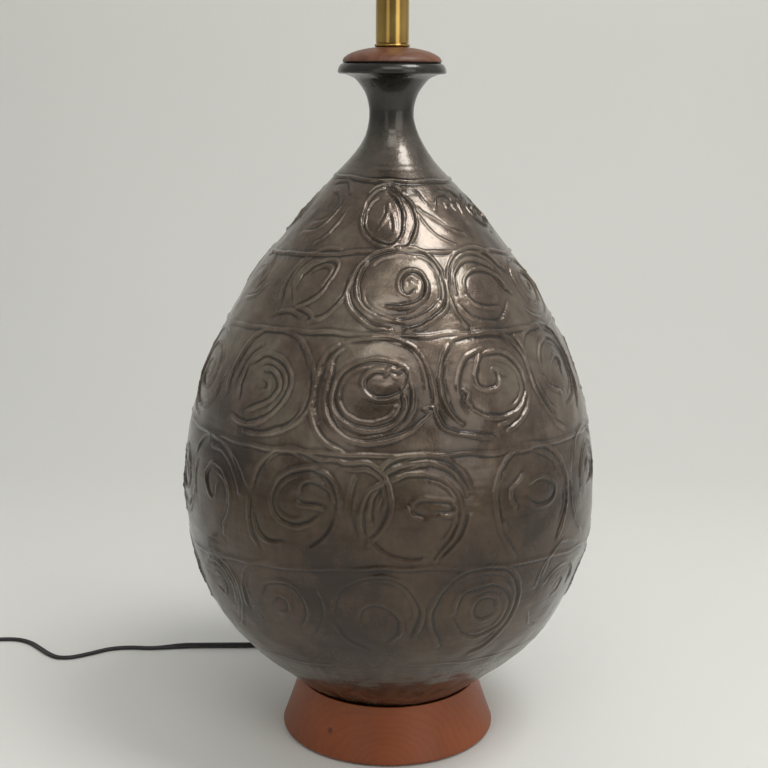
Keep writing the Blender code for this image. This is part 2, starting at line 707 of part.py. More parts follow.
def roundel_row(lower, upper, low, high, turn_shares):
    """Fills the wall between two rings with a row of coiled roundels.

    The wall is laid out flat, cut in a gap between two roundels, and filled with triangles that
    keep to the crest and the feet of every ridge.
    """
    middle = (low + high) / 2
    scale = float(np.interp(middle, wall_along, wall_line[:, 0]))
    turns = np.array(turn_shares) * math.tau
    ahead = np.diff(np.append(turns, turns[0] + math.tau))
    nearest = np.minimum(ahead, np.roll(ahead, 1)) * scale
    sizes = ROUNDEL_SIZE_SHARE * np.minimum(nearest, high - low)
    steps = math.tau * np.arange(BODY_STEPS) / BODY_STEPS
    away = np.abs((steps[:, None] - turns + math.pi) % math.tau - math.pi) * scale - sizes
    cut_step = int(away.min(axis=1).argmax())
    cut_turn = steps[cut_step]
    flat, rises, owners, edges = [], [], [], []

    def put(turn, along, rise=0.0, owner=None):
        flat.append(Vector((turn * scale, along)))
        rises.append(rise)
        owners.append(owner)
        return len(flat) - 1

    def chain(numbers):
        edges.extend(zip(numbers, numbers[1:]))

    sides = ([], [])
    for ring, along in ((lower, low), (upper, high)):
        row = [put(cut_turn + math.tau * k / BODY_STEPS, along, 0.0, ring[(cut_step + k) % BODY_STEPS])
               for k in range(BODY_STEPS + 1)]
        chain(row)
        sides[0].append(row[0])
        sides[1].append(row[-1])
    between = []
    for share in CUT_POINT_SHARES:
        along = low + share * (high - low)
        body_points.append(on_wall(cut_turn, along))
        between.append((along, len(body_points) - 1))
    for side, turn in zip(sides, (cut_turn, cut_turn + math.tau)):
        chain([side[0]] + [put(turn, along, 0.0, owner) for along, owner in between] + [side[1]])
    for turn, step, size in zip(turns, ahead, sizes):
        centre = cut_turn + (turn - cut_turn) % math.tau
        crest, left, right = ([put(centre + u / scale, middle + v, rise) for u, v in line]
                              for line, rise in zip(coil_chains(size, turn), (ROUNDEL_RISE, 0.0, 0.0)))
        rises[crest[0]] = rises[crest[-1]] = 0.0
        chain(crest)
        chain([crest[0]] + left + [crest[-1]])
        chain([crest[0]] + right + [crest[-1]])
        gap = cut_turn + (turn + step / 2 - cut_turn) % math.tau
        if abs((gap - cut_turn + math.pi) % math.tau - math.pi) * scale > ROUNDEL_RIDGE_WIDTH:
            for share in BETWEEN_ROUNDELS_SHARES:
                put(gap, low + share * (high - low))
    spots, _, faces, origins, _, _ = delaunay_2d_cdt(flat, edges, [], 0, WELD_DISTANCE, True)
    numbers = []
    for spot, origin in zip(spots, origins):
        known = origin[0] if origin else None
        if known is not None and owners[known] is not None:
            numbers.append(owners[known])
            continue
        rise = rises[known] if known is not None else 0.0
        body_points.append(on_wall(spot.x / scale, spot.y, rise))
        numbers.append(len(body_points) - 1)
    body_faces.extend(tuple(numbers[k] for k in face) for face in faces)


def inner_wall():
    """The inner wall, from the floor up to the waist: the outer one moved in by the wall."""
    outer = np.array(wall_points())
    along = np.gradient(outer, axis=0)
    inward = np.stack([-along[:, 1], along[:, 0]], 1)
    inward /= np.linalg.norm(inward, axis=1)[:, None]
    wall = np.interp(outer[:, 1], [BELLY_HEIGHT, WAIST_HEIGHT], [BELLY_WALL, NECK_WALL])
    inner = outer + inward * wall[:, None]
    above_floor = [tuple(p) for p in inner if p[1] > FLOOR_THICKNESS][1::2]
    floor_radius = float(np.interp(FLOOR_THICKNESS, inner[:, 1], inner[:, 0]))
    above_floor[-1] = (MOUTH_RADIUS, WAIST_HEIGHT)
    return [(ROD_HOLE_RADIUS, FLOOR_THICKNESS), (floor_radius, FLOOR_THICKNESS)] + above_floor


flare = arc(WAIST_RADIUS + FLARE_REACH, WAIST_HEIGHT, -FLARE_REACH, FLARE_RISE, 0, 90, 5)[1:]
rim_side = arc(RIM_TOP_RADIUS, RIM_UNDERSIDE, RIM_RADIUS - RIM_TOP_RADIUS, RIM_THICKNESS, 0, 90, 3)
line_heights = [share * BODY_HEIGHT for share in BAND_HEIGHT_SHARES]
below_lines = [p for p in wall_points() if p[1] < line_heights[0] - BAND_WIDTH]
above_lines = [p for p in wall_points() if p[1] > line_heights[-1] + BAND_WIDTH]
first_ring = body_ring(ROD_HOLE_RADIUS, 0.0)
last_ring = first_ring
for radius, height in below_lines:
    ring = body_ring(radius, height)
    body_strip(last_ring, ring)
    last_ring = ring
row_start = None
for row, height in enumerate(line_heights):
    below, above = height - BAND_WIDTH / 2, height + BAND_WIDTH / 2
    foot = body_ring(at_height(below, wall_line[:, 0]), below)
    crest = body_ring(at_height(height, wall_line[:, 0]) + BAND_RISE, height)
    head = body_ring(at_height(above, wall_line[:, 0]), above)
    if row_start is None:
        body_strip(last_ring, foot)
    else:
        row_end = at_height(below, wall_along)
        roundel_row(last_ring, foot, row_start, row_end, ROUNDEL_TURN_SHARES[row - 1])
    body_strip(foot, crest)
    body_strip(crest, head)
    last_ring, row_start = head, at_height(above, wall_along)
rest_of_outline = above_lines + flare + rim_side + [(MOUTH_RADIUS, BODY_HEIGHT)]
rest_of_outline += inner_wall()[::-1]
for radius, height in rest_of_outline:
    ring = body_ring(radius, height)
    body_strip(last_ring, ring)
    last_ring = ring
body_strip(last_ring, first_ring)
body_mesh = bpy.data.meshes.new("ceramic_body")
body_mesh.from_pydata(body_points, [], body_faces)
ceramic_body = mesh_object("ceramic_body", body_mesh, GLAZE)
ceramic_body.location.z = BODY_SEAT


# Walnut cap: a low dome with a spigot in the ceramic's mouth

cap_profile = [(CAP_SEAT_RADIUS, CAP_RISE)]
dome_start = math.degrees(math.acos(CAP_SEAT_RADIUS / CAP_RADIUS))
dome_crown = math.sin(math.radians(dome_start))
cap_profile += arc(0.0, 0.0, CAP_RADIUS, CAP_RISE / dome_crown, dome_start, 0, 6)[1:]
spigot_radius = MOUTH_RADIUS - SPIGOT_CLEARANCE
cap_profile += [
    (spigot_radius, 0.0),
    (spigot_radius, -SPIGOT_DEPTH),
    (ROD_HOLE_RADIUS, -SPIGOT_DEPTH),
    (ROD_HOLE_RADIUS, CAP_RISE),
]
walnut_cap = turned("walnut_cap", cap_profile, WALNUT, WOOD_STEPS)
walnut_cap.location.z = CAP_SEAT


# Brass ring, neck and neck cap

ring_bulge = RING_HEIGHT / 2
ring_edge = arc(RING_RADIUS - ring_bulge, ring_bulge, ring_bulge, ring_bulge, 90, -90, 4)
check_ring = turned("check_ring", ring_edge + [(ROD_HOLE_RADIUS, 0.0), (ROD_HOLE_RADIUS, RING_HEIGHT)],
                    BRASS, SMALL_STEPS)
check_ring.location.z = RING_SEAT

tube_bore = TUBE_RADIUS - TUBE_WALL
brass_neck = turned("brass_neck", ring_profile(tube_bore, TUBE_RADIUS, 0.0, TUBE_LENGTH), BRASS, TUBE_STEPS)
brass_neck.location.z = TUBE_SEAT

neck_spigot_radius = tube_bore - SEAT_GAP
neck_cap_profile = arc(ROD_HOLE_RADIUS, 0.0, NECK_CAP_RADIUS - ROD_HOLE_RADIUS, NECK_CAP_HEIGHT, 60, 0, 3)
neck_cap_top = neck_cap_profile[0][1]
neck_cap_profile = [(r, z * NECK_CAP_HEIGHT / neck_cap_top) for r, z in neck_cap_profile]
neck_cap_profile += [
    (neck_spigot_radius, 0.0),
    (neck_spigot_radius, -NECK_CAP_SPIGOT),
    (ROD_HOLE_RADIUS, -NECK_CAP_SPIGOT),
    (ROD_HOLE_RADIUS, NECK_CAP_HEIGHT),
]
neck_cap = turned("neck_cap", neck_cap_profile, BRASS)
neck_cap.location.z = NECK_CAP_SEAT


# Harp saddle: a strip bent up at both ends, its arms narrowed to tabs that the harp stands on

def bent_strip_outline():
    """Side view of the strip, with rounded bends, as (x, height) points."""
    inner = SADDLE_BEND_RADIUS
    outer = SADDLE_BEND_RADIUS + SADDLE_THICKNESS
    bend = SADDLE_HALF_SPAN + SADDLE_THICKNESS / 2 - outer
    right_outer = arc(bend, outer, outer, outer, -90, 0, 5)
    right_inner = arc(bend, outer, inner, inner, 0, -90, 5)
    right = right_outer + [
        (SADDLE_HALF_SPAN + SADDLE_THICKNESS / 2, SADDLE_ARM_HEIGHT),
        (SADDLE_HALF_SPAN - SADDLE_THICKNESS / 2, SADDLE_ARM_HEIGHT),
    ] + right_inner
    left = [(-x, z) for x, z in reversed(right)]
    return right + left


harp_saddle = plate("harp_saddle", bent_strip_outline(), SADDLE_WIDTH, BRASS)
harp_saddle.rotation_euler.x = math.pi / 2
harp_saddle.location.z = SADDLE_SEAT
harp_saddle = as_mesh(harp_saddle)
cut(harp_saddle, cylinder("saddle_rod_hole", ROD_HOLE_RADIUS, SADDLE_THICKNESS + 2 * OVERRUN,
                          (0.0, 0.0, SADDLE_SEAT)))
shoulder_width = (SADDLE_WIDTH - SADDLE_TAB_WIDTH) / 2 + OVERRUN
shoulder_height = SADDLE_TAB_LENGTH + OVERRUN
for side, word in ((-1, "front"), (1, "back")):
    notch_y = side * (SADDLE_TAB_WIDTH / 2 + shoulder_width / 2)
    notch_z = SADDLE_TIP - SADDLE_TAB_LENGTH + shoulder_height / 2
    notch_size = (2 * SADDLE_HALF_SPAN + 2 * OVERRUN, shoulder_width, shoulder_height)
    cut(harp_saddle, block("saddle_notch_" + word, notch_size, (0.0, notch_y, notch_z)))


# Harp: one bent wire with a flattened eye at its top

def harp_line():
    """The wire's centreline as (x, y, z) points, from the left leg over the top to the right."""
    bulge = HARP_HALF_WIDTH - SADDLE_HALF_SPAN
    rise = HARP_HEIGHT - HARP_LEG
    side = [(SADDLE_HALF_SPAN, 0.0), (SADDLE_HALF_SPAN, HARP_LEG / 2), (SADDLE_HALF_SPAN, HARP_LEG)]
    side += [(SADDLE_HALF_SPAN + r * bulge, HARP_LEG + z * rise) for r, z in HARP_OUTLINE_SHARES]
    side += [(HARP_SHOULDER_SHARE * HARP_HALF_WIDTH, HARP_HEIGHT), (0.0, HARP_HEIGHT)]
    right = [(x, 0.0, HARP_SEAT + z) for x, z in smooth_line(side, 3)]
    left = [(-x, y, z) for x, y, z in right]
    return left + right[-2::-1]


harp = as_mesh(tube("harp", harp_line(), WIRE_RADIUS, BRASS))
cut(harp, cylinder("harp_eye", EYE_RADIUS, EYE_THICKNESS, (0.0, 0.0, EYE_CENTRE), "Z", FINE_STEPS), "UNION")
for side, word in ((-1, "below"), (1, "above")):
    trim_z = EYE_CENTRE + side * (EYE_THICKNESS / 2 + OVERRUN / 2)
    cut(harp, cylinder("harp_eye_flat_" + word, FLANGE_RADIUS + EYE_FLAT_MARGIN, OVERRUN,
                       (0.0, 0.0, trim_z), "Z", FINE_STEPS))
cut(harp, cylinder("harp_eye_hole", STUD_SHANK_RADIUS + SEAT_GAP, EYE_THICKNESS + 2 * OVERRUN,
                   (0.0, 0.0, EYE_CENTRE), "Z", SCREW_STEPS))

tab_half_diagonal = math.hypot(SADDLE_TAB_WIDTH, SADDLE_THICKNESS) / 2
sleeve_bore = max(WIRE_RADIUS, tab_half_diagonal) + SEAT_GAP
sleeve_radius = sleeve_bore + SLEEVE_WALL
sleeve_bead_radius = sleeve_radius + SLEEVE_BEAD
sleeve_profile = [
    (sleeve_radius, SLEEVE_LENGTH),
    (sleeve_radius, 4 * SLEEVE_BEAD),
    (sleeve_bead_radius, 3 * SLEEVE_BEAD),
    (sleeve_bead_radius, SLEEVE_BEAD),
    (sleeve_radius, 0.0),
    (sleeve_bore, 0.0),
    (sleeve_bore, SLEEVE_LENGTH),
]
for side, word in ((-1, "left"), (1, "right")):
    sleeve = turned("harp_sleeve_" + word, sleeve_profile, BRASS, SCREW_STEPS)
    sleeve.location = (side * SADDLE_HALF_SPAN, 0.0, SLEEVE_SEAT)


# Swivel stud in the harp's eye, and the finial on its post, its foot in a shallow recess of the
# flange, so that the flange's rim stays bare for the ring of a shade

eye_top = EYE_THICKNESS / 2 + SEAT_GAP
flange_top = eye_top + FLANGE_THICKNESS
finial_rest = flange_top - FLANGE_RECESS_DEPTH
recess_radius = FINIAL_FOOT_RADIUS + FLANGE_RECESS_CLEARANCE
stud_profile = [
    (0.0, flange_top + POST_HEIGHT),
    (POST_RADIUS, flange_top + POST_HEIGHT),
    (POST_RADIUS, finial_rest),
    (recess_radius, finial_rest),
    (recess_radius, flange_top),
    (FLANGE_RADIUS, flange_top),
    (FLANGE_RADIUS, eye_top),
    (STUD_SHANK_RADIUS, eye_top),
    (STUD_SHANK_RADIUS, -eye_top),
    (STUD_HEAD_RADIUS, -eye_top),
    (STUD_HEAD_RADIUS, -eye_top - STUD_HEAD_HEIGHT),
    (0.0, -eye_top - STUD_HEAD_HEIGHT),
]
swivel_stud = turned("swivel_stud", stud_profile, BRASS, FINE_STEPS, closed=False)
swivel_stud.location.z = EYE_CENTRE

finial_ball = arc(0.0, FINIAL_HEIGHT - FINIAL_RADIUS, FINIAL_RADIUS, FINIAL_RADIUS, 90, -50, 7)
finial_bore = POST_RADIUS + SEAT_GAP
waist_height = (FINIAL_HEIGHT - 2 * FINIAL_RADIUS) / 2
finial_profile = [(0.0, FINIAL_HEIGHT)] + finial_ball[1:] + [
    (FINIAL_WAIST_RADIUS, waist_height),
    (FINIAL_FOOT_RADIUS, waist_height / 2),
    (FINIAL_FOOT_RADIUS, 0.0),
    (finial_bore, 0.0),
    (finial_bore, FINIAL_BORE_DEPTH),
    (0.0, FINIAL_BORE_DEPTH),
]
finial = turned("finial", finial_profile, BRASS, FINE_STEPS, closed=False)
finial.location.z = EYE_CENTRE + finial_rest + SEAT_GAP


# Lampholder's case: the cap with its hub and set screw, the shell and its card liner

bowl_start = SOCKET_CAP_HEIGHT - SHELL_LAP - HUB_HEIGHT
bowl_outer = arc(BOWL_FLOOR_RADIUS, HUB_HEIGHT + bowl_start, SOCKET_CAP_RADIUS - BOWL_FLOOR_RADIUS,
                 bowl_start, 0, -90, 3)
bowl_inner = arc(BOWL_FLOOR_RADIUS, HUB_HEIGHT + bowl_start,
                 SOCKET_CAP_RADIUS - BOWL_FLOOR_RADIUS - CASE_WALL, bowl_start - CASE_WALL, -90, 0, 3)
socket_cap_profile = [(SOCKET_CAP_RADIUS, SOCKET_CAP_HEIGHT)]
socket_cap_profile += bowl_outer
socket_cap_profile += [(HUB_RADIUS, HUB_HEIGHT), (HUB_RADIUS, 0.0), (ROD_HOLE_RADIUS, 0.0)]
socket_cap_profile += [(ROD_HOLE_RADIUS, HUB_HEIGHT + CASE_WALL)]
socket_cap_profile += bowl_inner
socket_cap_profile += [(SOCKET_CAP_RADIUS - CASE_WALL, SOCKET_CAP_HEIGHT)]
socket_cap = turned("socket_cap", socket_cap_profile, BRASS)
socket_cap.location.z = SOCKET_SEAT
set_screw_height = SOCKET_SEAT + HUB_HEIGHT / 2
cut(socket_cap, cylinder("set_screw_hole", SET_SCREW_RADIUS + SEAT_GAP, HUB_RADIUS,
                         (0.0, HUB_RADIUS, set_screw_height), "Y", SCREW_STEPS))

set_screw_length = HUB_RADIUS - ROD_RADIUS - SEAT_GAP
set_screw_profile = [
    (0.0, SET_SCREW_HEAD_HEIGHT),
    (SET_SCREW_HEAD_RADIUS, SET_SCREW_HEAD_HEIGHT),
    (SET_SCREW_HEAD_RADIUS, SEAT_GAP),
    (SET_SCREW_RADIUS, SEAT_GAP),
    (SET_SCREW_RADIUS, -set_screw_length),
    (0.0, -set_screw_length),
]
set_screw = turned("socket_set_screw", set_screw_profile, STEEL, SCREW_STEPS, closed=False)
set_screw.rotation_euler.x = -math.pi / 2
set_screw.location = (0.0, HUB_RADIUS, set_screw_height)

shell_bore = SHELL_RADIUS - CASE_WALL
shell_profile = [
    (SHELL_RADIUS, SHELL_HEIGHT),
    (SHELL_RADIUS + SHELL_MOUTH_BEAD, SHELL_HEIGHT - SHELL_MOUTH_BEAD),
    (SHELL_RADIUS + SHELL_MOUTH_BEAD, SHELL_HEIGHT - 2 * SHELL_MOUTH_BEAD),
    (SHELL_RADIUS, SHELL_HEIGHT - 3 * SHELL_MOUTH_BEAD),
    (SHELL_RADIUS, 0.0),
    (shell_bore, 0.0),
    (shell_bore, SHELL_HEIGHT),
]
socket_shell = turned("socket_shell", shell_profile, BRASS)
socket_shell.location.z = SHELL_SEAT
liner_height = SHELL_HEIGHT - SHELL_MOUTH_BEAD
liner_profile = ring_profile(LINER_OUTER_RADIUS - LINER_THICKNESS, LINER_OUTER_RADIUS, 0.0, liner_height)
insulator_sleeve = turned("insulator_sleeve", liner_profile, CARD)
insulator_sleeve.location.z = SHELL_SEAT
for piece in (socket_shell, insulator_sleeve):
    cut(piece, cylinder(piece.name + "_switch_hole", SWITCH_HOLE_RADIUS, SHELL_RADIUS,
                        (0.0, -SHELL_RADIUS, SWITCH_AXIS), "Y", SCREW_STEPS))


# Lampholder's inside: the moulded interior with its channel for the wires and its two pockets,
# the screw shell, the centre contact and the terminal screws

interior_profile = [
    (0.0, INTERIOR_HEIGHT),
    (INTERIOR_RADIUS, INTERIOR_HEIGHT),
    (INTERIOR_RADIUS, INTERIOR_FOOT_HEIGHT),
    (INTERIOR_FOOT_RADIUS, INTERIOR_FOOT_HEIGHT),
    (INTERIOR_FOOT_RADIUS, 0.0),
    (0.0, 0.0),
]
socket_interior = turned("socket_interior", interior_profile, PHENOLIC, SMALL_STEPS, closed=False)
socket_interior.location.z = INTERIOR_SEAT
channel_height = INTERIOR_FOOT_HEIGHT + OVERRUN
cut(socket_interior, block("interior_wire_channel",
                           (2 * INTERIOR_RADIUS + 2 * OVERRUN, WIRE_CHANNEL_WIDTH, channel_height),
                           (0.0, 0.0, INTERIOR_SEAT + INTERIOR_FOOT_HEIGHT - channel_height / 2)))
pocket_floor = INTERIOR_RADIUS - TERMINAL_POCKET_DEPTH
pocket_bottom = INTERIOR_SEAT + INTERIOR_FOOT_HEIGHT - OVERRUN
pocket_top = TERMINAL_AXIS + TERMINAL_POCKET_HEIGHT / 2
for side, word in ((-1, "hot"), (1, "neutral")):
    pocket_size = (TERMINAL_POCKET_DEPTH + OVERRUN, TERMINAL_POCKET_WIDTH, pocket_top - pocket_bottom)
    pocket_x = side * (pocket_floor + pocket_size[0] / 2)
    cut(socket_interior, block("terminal_pocket_" + word, pocket_size,
                               (pocket_x, 0.0, (pocket_top + pocket_bottom) / 2)))
    hole_depth = TERMINAL_SHANK_LENGTH + 2 * SEAT_GAP
    hole_x = side * (pocket_floor + OVERRUN / 2 - hole_depth / 2)
    cut(socket_interior, cylinder("terminal_hole_" + word, TERMINAL_SHANK_RADIUS + SEAT_GAP,
                                  hole_depth + OVERRUN, (hole_x, 0.0, TERMINAL_AXIS), "X", SCREW_STEPS))
    screw_profile = [
        (0.0, SEAT_GAP + TERMINAL_HEAD_HEIGHT),
        (TERMINAL_HEAD_RADIUS, SEAT_GAP + TERMINAL_HEAD_HEIGHT),
        (TERMINAL_HEAD_RADIUS, SEAT_GAP),
        (TERMINAL_SHANK_RADIUS, SEAT_GAP),
        (TERMINAL_SHANK_RADIUS, -TERMINAL_SHANK_LENGTH),
        (0.0, -TERMINAL_SHANK_LENGTH),
    ]
    screw = turned("terminal_screw_" + word, screw_profile, BRASS, SCREW_STEPS, closed=False)
    screw.rotation_euler.y = side * math.pi / 2
    screw.location = (side * pocket_floor, 0.0, TERMINAL_AXIS)
shaft_hole_length = INTERIOR_RADIUS - SWITCH_SHAFT_INNER_END + SEAT_GAP + OVERRUN
cut(socket_interior, cylinder("interior_switch_hole", SWITCH_HOLE_RADIUS, shaft_hole_length,
                              (0.0, -SWITCH_SHAFT_INNER_END + SEAT_GAP - shaft_hole_length / 2, SWITCH_AXIS),
                              "Y", SCREW_STEPS))

screw_shell_radius = SCREW_SHELL_INNER_RADIUS + SCREW_SHELL_WALL
screw_shell_profile = [
    (screw_shell_radius, SCREW_SHELL_HEIGHT),
    (screw_shell_radius, 0.0),
    (SCREW_SHELL_FLOOR_HOLE, 0.0),
    (SCREW_SHELL_FLOOR_HOLE, SCREW_SHELL_WALL),
    (SCREW_SHELL_INNER_RADIUS, SCREW_SHELL_WALL),
    (SCREW_SHELL_INNER_RADIUS, SCREW_SHELL_HEIGHT),
]
screw_shell = turned("screw_shell", screw_shell_profile, ALUMINIUM)
screw_shell.location.z = SCREW_SHELL_SEAT

tongue = [(-CONTACT_HALF_LENGTH, 0.0), (-CONTACT_HALF_LENGTH / 3, 0.0),
          (CONTACT_HALF_LENGTH / 2, CONTACT_RISE), (CONTACT_HALF_LENGTH, CONTACT_RISE * 3 / 4)]
tongue_outline = tongue + [(x, z + CONTACT_THICKNESS) for x, z in reversed(tongue)]
centre_contact = plate("centre_contact", tongue_outline, CONTACT_WIDTH, BRASS)
centre_contact.rotation_euler.x = math.pi / 2
centre_contact.location.z = SCREW_SHELL_SEAT


# Turn switch: a shaft through the case with a fluted knob

shaft_length = SHELL_RADIUS + KNOB_STANDOFF + KNOB_BORE_DEPTH - SEAT_GAP - SWITCH_SHAFT_INNER_END
switch_shaft = turned("switch_shaft",
                      [(0.0, shaft_length), (SWITCH_SHAFT_RADIUS, shaft_length),
                       (SWITCH_SHAFT_RADIUS, 0.0), (0.0, 0.0)], BRASS, SCREW_STEPS, closed=False)
switch_shaft.rotation_euler.x = math.pi / 2
switch_shaft.location = (0.0, -SWITCH_SHAFT_INNER_END, SWITCH_AXIS)


def fluted_circle(radius, depth, flutes, points_per_flute):
    """Outline of a knob: the radius dips by depth in a cosine once for every flute."""
    angles = np.linspace(0.0, math.tau, flutes * points_per_flute, endpoint=False)
    radii = radius - depth * (1 - np.cos(flutes * angles)) / 2
    return list(zip(radii * np.cos(angles), radii * np.sin(angles)))


knob_outline = fluted_circle(KNOB_RADIUS, KNOB_FLUTE_DEPTH, KNOB_FLUTES, 4)
switch_knob = plate("switch_knob", knob_outline, KNOB_LENGTH, PHENOLIC, KNOB_EDGE, 0)
knob_near_face = SHELL_RADIUS + KNOB_STANDOFF
switch_knob.rotation_euler.x = math.pi / 2
switch_knob.location = (0.0, -knob_near_face - KNOB_LENGTH / 2, SWITCH_AXIS)
switch_knob = as_mesh(switch_knob)
knob_cut_length = KNOB_BORE_DEPTH + OVERRUN
cut(switch_knob, cylinder("knob_bore", SWITCH_SHAFT_RADIUS + SEAT_GAP, knob_cut_length,
                          (0.0, -knob_near_face - KNOB_BORE_DEPTH + knob_cut_length / 2, SWITCH_AXIS),
                          "Y", SCREW_STEPS))


# Strain relief at the back of the base

bushing_inner_end = RECESS_RADIUS - SPOT_FACE_Y
collar_start = SEAT_GAP
collar_end = collar_start + BUSHING_COLLAR_THICKNESS
tip = collar_end + BUSHING_TAPER_LENGTH
bushing_profile = [
    (BUSHING_BORE_RADIUS + BUSHING_TIP_WALL, tip),
    (BUSHING_BODY_RADIUS, collar_end),
    (BUSHING_COLLAR_RADIUS, collar_end),
    (BUSHING_COLLAR_RADIUS, collar_start),
    (BUSHING_BODY_RADIUS, collar_start),
    (BUSHING_BODY_RADIUS, bushing_inner_end),
    (BUSHING_BORE_RADIUS, bushing_inner_end),
    (BUSHING_BORE_RADIUS, tip),
]
cord_bushing = turned("cord_bushing", bushing_profile, VINYL, FINE_STEPS)
cord_bushing.rotation_euler.x = -math.pi / 2
cord_bushing.location = (0.0, SPOT_FACE_Y, CORD_EXIT_HEIGHT)


# Cord inside the lamp, from the strain relief down to the pad, up the rod to the lampholder

def inner_cord_line():
    """Level through the strain relief, down to the pad, then a quarter bend up into the rod."""
    low = FELT_THICKNESS + SEAT_GAP + CORD_RADIUS + CORD_REST_GAP
    through_wall = [(0.0, BUSHING_TIP_Y, CORD_EXIT_HEIGHT), (0.0, RECESS_RADIUS, CORD_EXIT_HEIGHT)]
    halfway = (RECESS_RADIUS + CORD_INSIDE_BEND) / 2
    fall_share = np.linspace(0.0, 1.0, 7)[1:-1]
    fall_drop = (CORD_EXIT_HEIGHT - low) / 2
    fall = [(0.0, RECESS_RADIUS + s * (halfway - RECESS_RADIUS),
             low + fall_drop * (1 + math.cos(math.pi * s))) for s in fall_share]
    level = [(0.0, halfway, low), (0.0, (halfway + CORD_INSIDE_BEND) / 2, low)]
    bend = [(0.0, y, z) for y, z in arc(CORD_INSIDE_BEND, low + CORD_INSIDE_BEND, CORD_INSIDE_BEND,
                                        CORD_INSIDE_BEND, -90, -180, 6)]
    return through_wall + fall + level + bend + [(0.0, 0.0, ROD_TOP)]


tube("inner_cord", inner_cord_line(), CORD_RADIUS, VINYL)
wire_start = ROD_TOP + SEAT_GAP
wire_channel_middle = INTERIOR_SEAT + INTERIOR_FOOT_HEIGHT / 2
wire_offset = CORD_RADIUS / 2
wire_end_x = pocket_floor + CONDUCTOR_RADIUS + SEAT_GAP
wire_end_z = TERMINAL_AXIS - TERMINAL_SHANK_RADIUS - SEAT_GAP
wire_top_z = TERMINAL_AXIS - TERMINAL_HEAD_RADIUS - SEAT_GAP
for side, word in ((-1, "hot"), (1, "neutral")):
    wire_route = [
        (side * wire_offset, 0.0, wire_start),
        (side * wire_offset, 0.0, (wire_start + wire_channel_middle) / 2),
        (side * wire_end_x / 2, 0.0, wire_channel_middle),
        (side * (wire_end_x - CONDUCTOR_RADIUS), 0.0, wire_channel_middle + CONDUCTOR_RADIUS),
        (side * wire_end_x, 0.0, (wire_channel_middle + wire_top_z) / 2),
        (side * wire_end_x, 0.0, wire_top_z),
    ]
    tube("wire_" + word, [tuple(p) for p in smooth_line(wire_route, 3)], CONDUCTOR_RADIUS, VINYL, 1)


# Cord on the table

cord_line = spaced(smooth_line(CORD_ROUTE, 12), CORD_POINT_SPACING)
cord_line[-2, 1:] = cord_line[-1, 1:]
tube("cord_run", [tuple(p) for p in cord_line], CORD_RADIUS, VINYL, 2)


# The rest of the cord, wound up: a spiral in on the table, a climb in the half turn where it
# reverses, and a spiral out on top, then a short tail down to the plug

PLUG_AXIS = PLUG_THICKNESS / 2


def coil_line():
    """Points of the coil, from its lead-in to the end of its tail."""
    centre_x, centre_y = COIL_CENTRE
    count = COIL_QUARTER_TURNS * COIL_POINTS_PER_QUARTER
    turns = np.arange(count + 1) / (4 * COIL_POINTS_PER_QUARTER)
    half = turns[-1] / 2
    radius = COIL_OUTER_RADIUS - COIL_PITCH * (half - np.abs(turns - half))
    climb = np.clip((turns - half) * 2 + 0.5, 0.0, 1.0)
    height = CORD_REST_HEIGHT + COIL_PITCH * climb**2 * (3 - 2 * climb)
    angle = math.tau * (turns + 0.25)
    x = centre_x + radius * np.cos(angle)
    y = centre_y + radius * np.sin(angle)
    turns_part = np.stack([x, y, height], 1)
    lead_in = np.array([[centre_x + 2 * CORD_RADIUS, CORD_END_Y, CORD_REST_HEIGHT]])
    top = float(height[-1])
    tail_drop = top - PLUG_AXIS
    tail_shares = ((2.0, 0.0), (4.0, 0.25), (6.0, 0.75), (8.0, 1.0), (11.0, 1.0))
    tail = [(x[-1], centre_y - s * CORD_RADIUS, top - d * tail_drop) for s, d in tail_shares]
    return np.vstack([lead_in, turns_part, np.array(tail)])


def least_gap(line, radius):
    """The least clear distance between stretches of the tube that aren't neighbours on it."""
    fine = spaced(line, radius)
    away = int(math.ceil(math.pi * 2))
    apart = np.linalg.norm(fine[:, None] - fine[None], axis=2)
    rows = np.arange(len(fine))
    near = np.abs(rows[:, None] - rows[None]) <= 2 * away
    apart[near] = np.inf
    return float(apart.min()) - 2 * radius


coil = coil_line()
tube("cord_coil", [tuple(p) for p in coil], CORD_RADIUS, VINYL, 1)
print("coil's least gap to itself, mm:", round(1000 * least_gap(coil, CORD_RADIUS), 2))
print("cord's length, m:", round(line_length(cord_line) + line_length(coil), 3))


# Plug beside the coil, with its two flat blades

plug_x = float(coil[-1, 0])
plug_start = float(coil[-1, 1]) - SEAT_GAP
half_neck = PLUG_NECK_WIDTH / 2
half_plug = PLUG_WIDTH / 2
PLUG_OUTLINE_SHARES = ((0.0, 0.0), (0.16, 0.05), (0.34, 0.55), (0.52, 0.93), (0.70, 1.0), (1.0, 0.94))
right_edge = [(half_neck + w * (half_plug - half_neck), -along * PLUG_LENGTH)
              for along, w in PLUG_OUTLINE_SHARES]
plug_outline = right_edge + [(-x, y) for x, y in reversed(right_edge)]
plug_body = plate("plug_body", plug_outline, PLUG_THICKNESS, VINYL, PLUG_EDGE)
plug_body.location = (plug_x, plug_start, PLUG_AXIS)
plug_body = as_mesh(plug_body)
blade_total = BLADE_LENGTH + BLADE_SEAT_DEPTH
blade_middle = plug_start - PLUG_LENGTH + BLADE_SEAT_DEPTH - SEAT_GAP - blade_total / 2
slot_length = BLADE_SEAT_DEPTH + OVERRUN
slot_middle = plug_start - PLUG_LENGTH + BLADE_SEAT_DEPTH - slot_length / 2
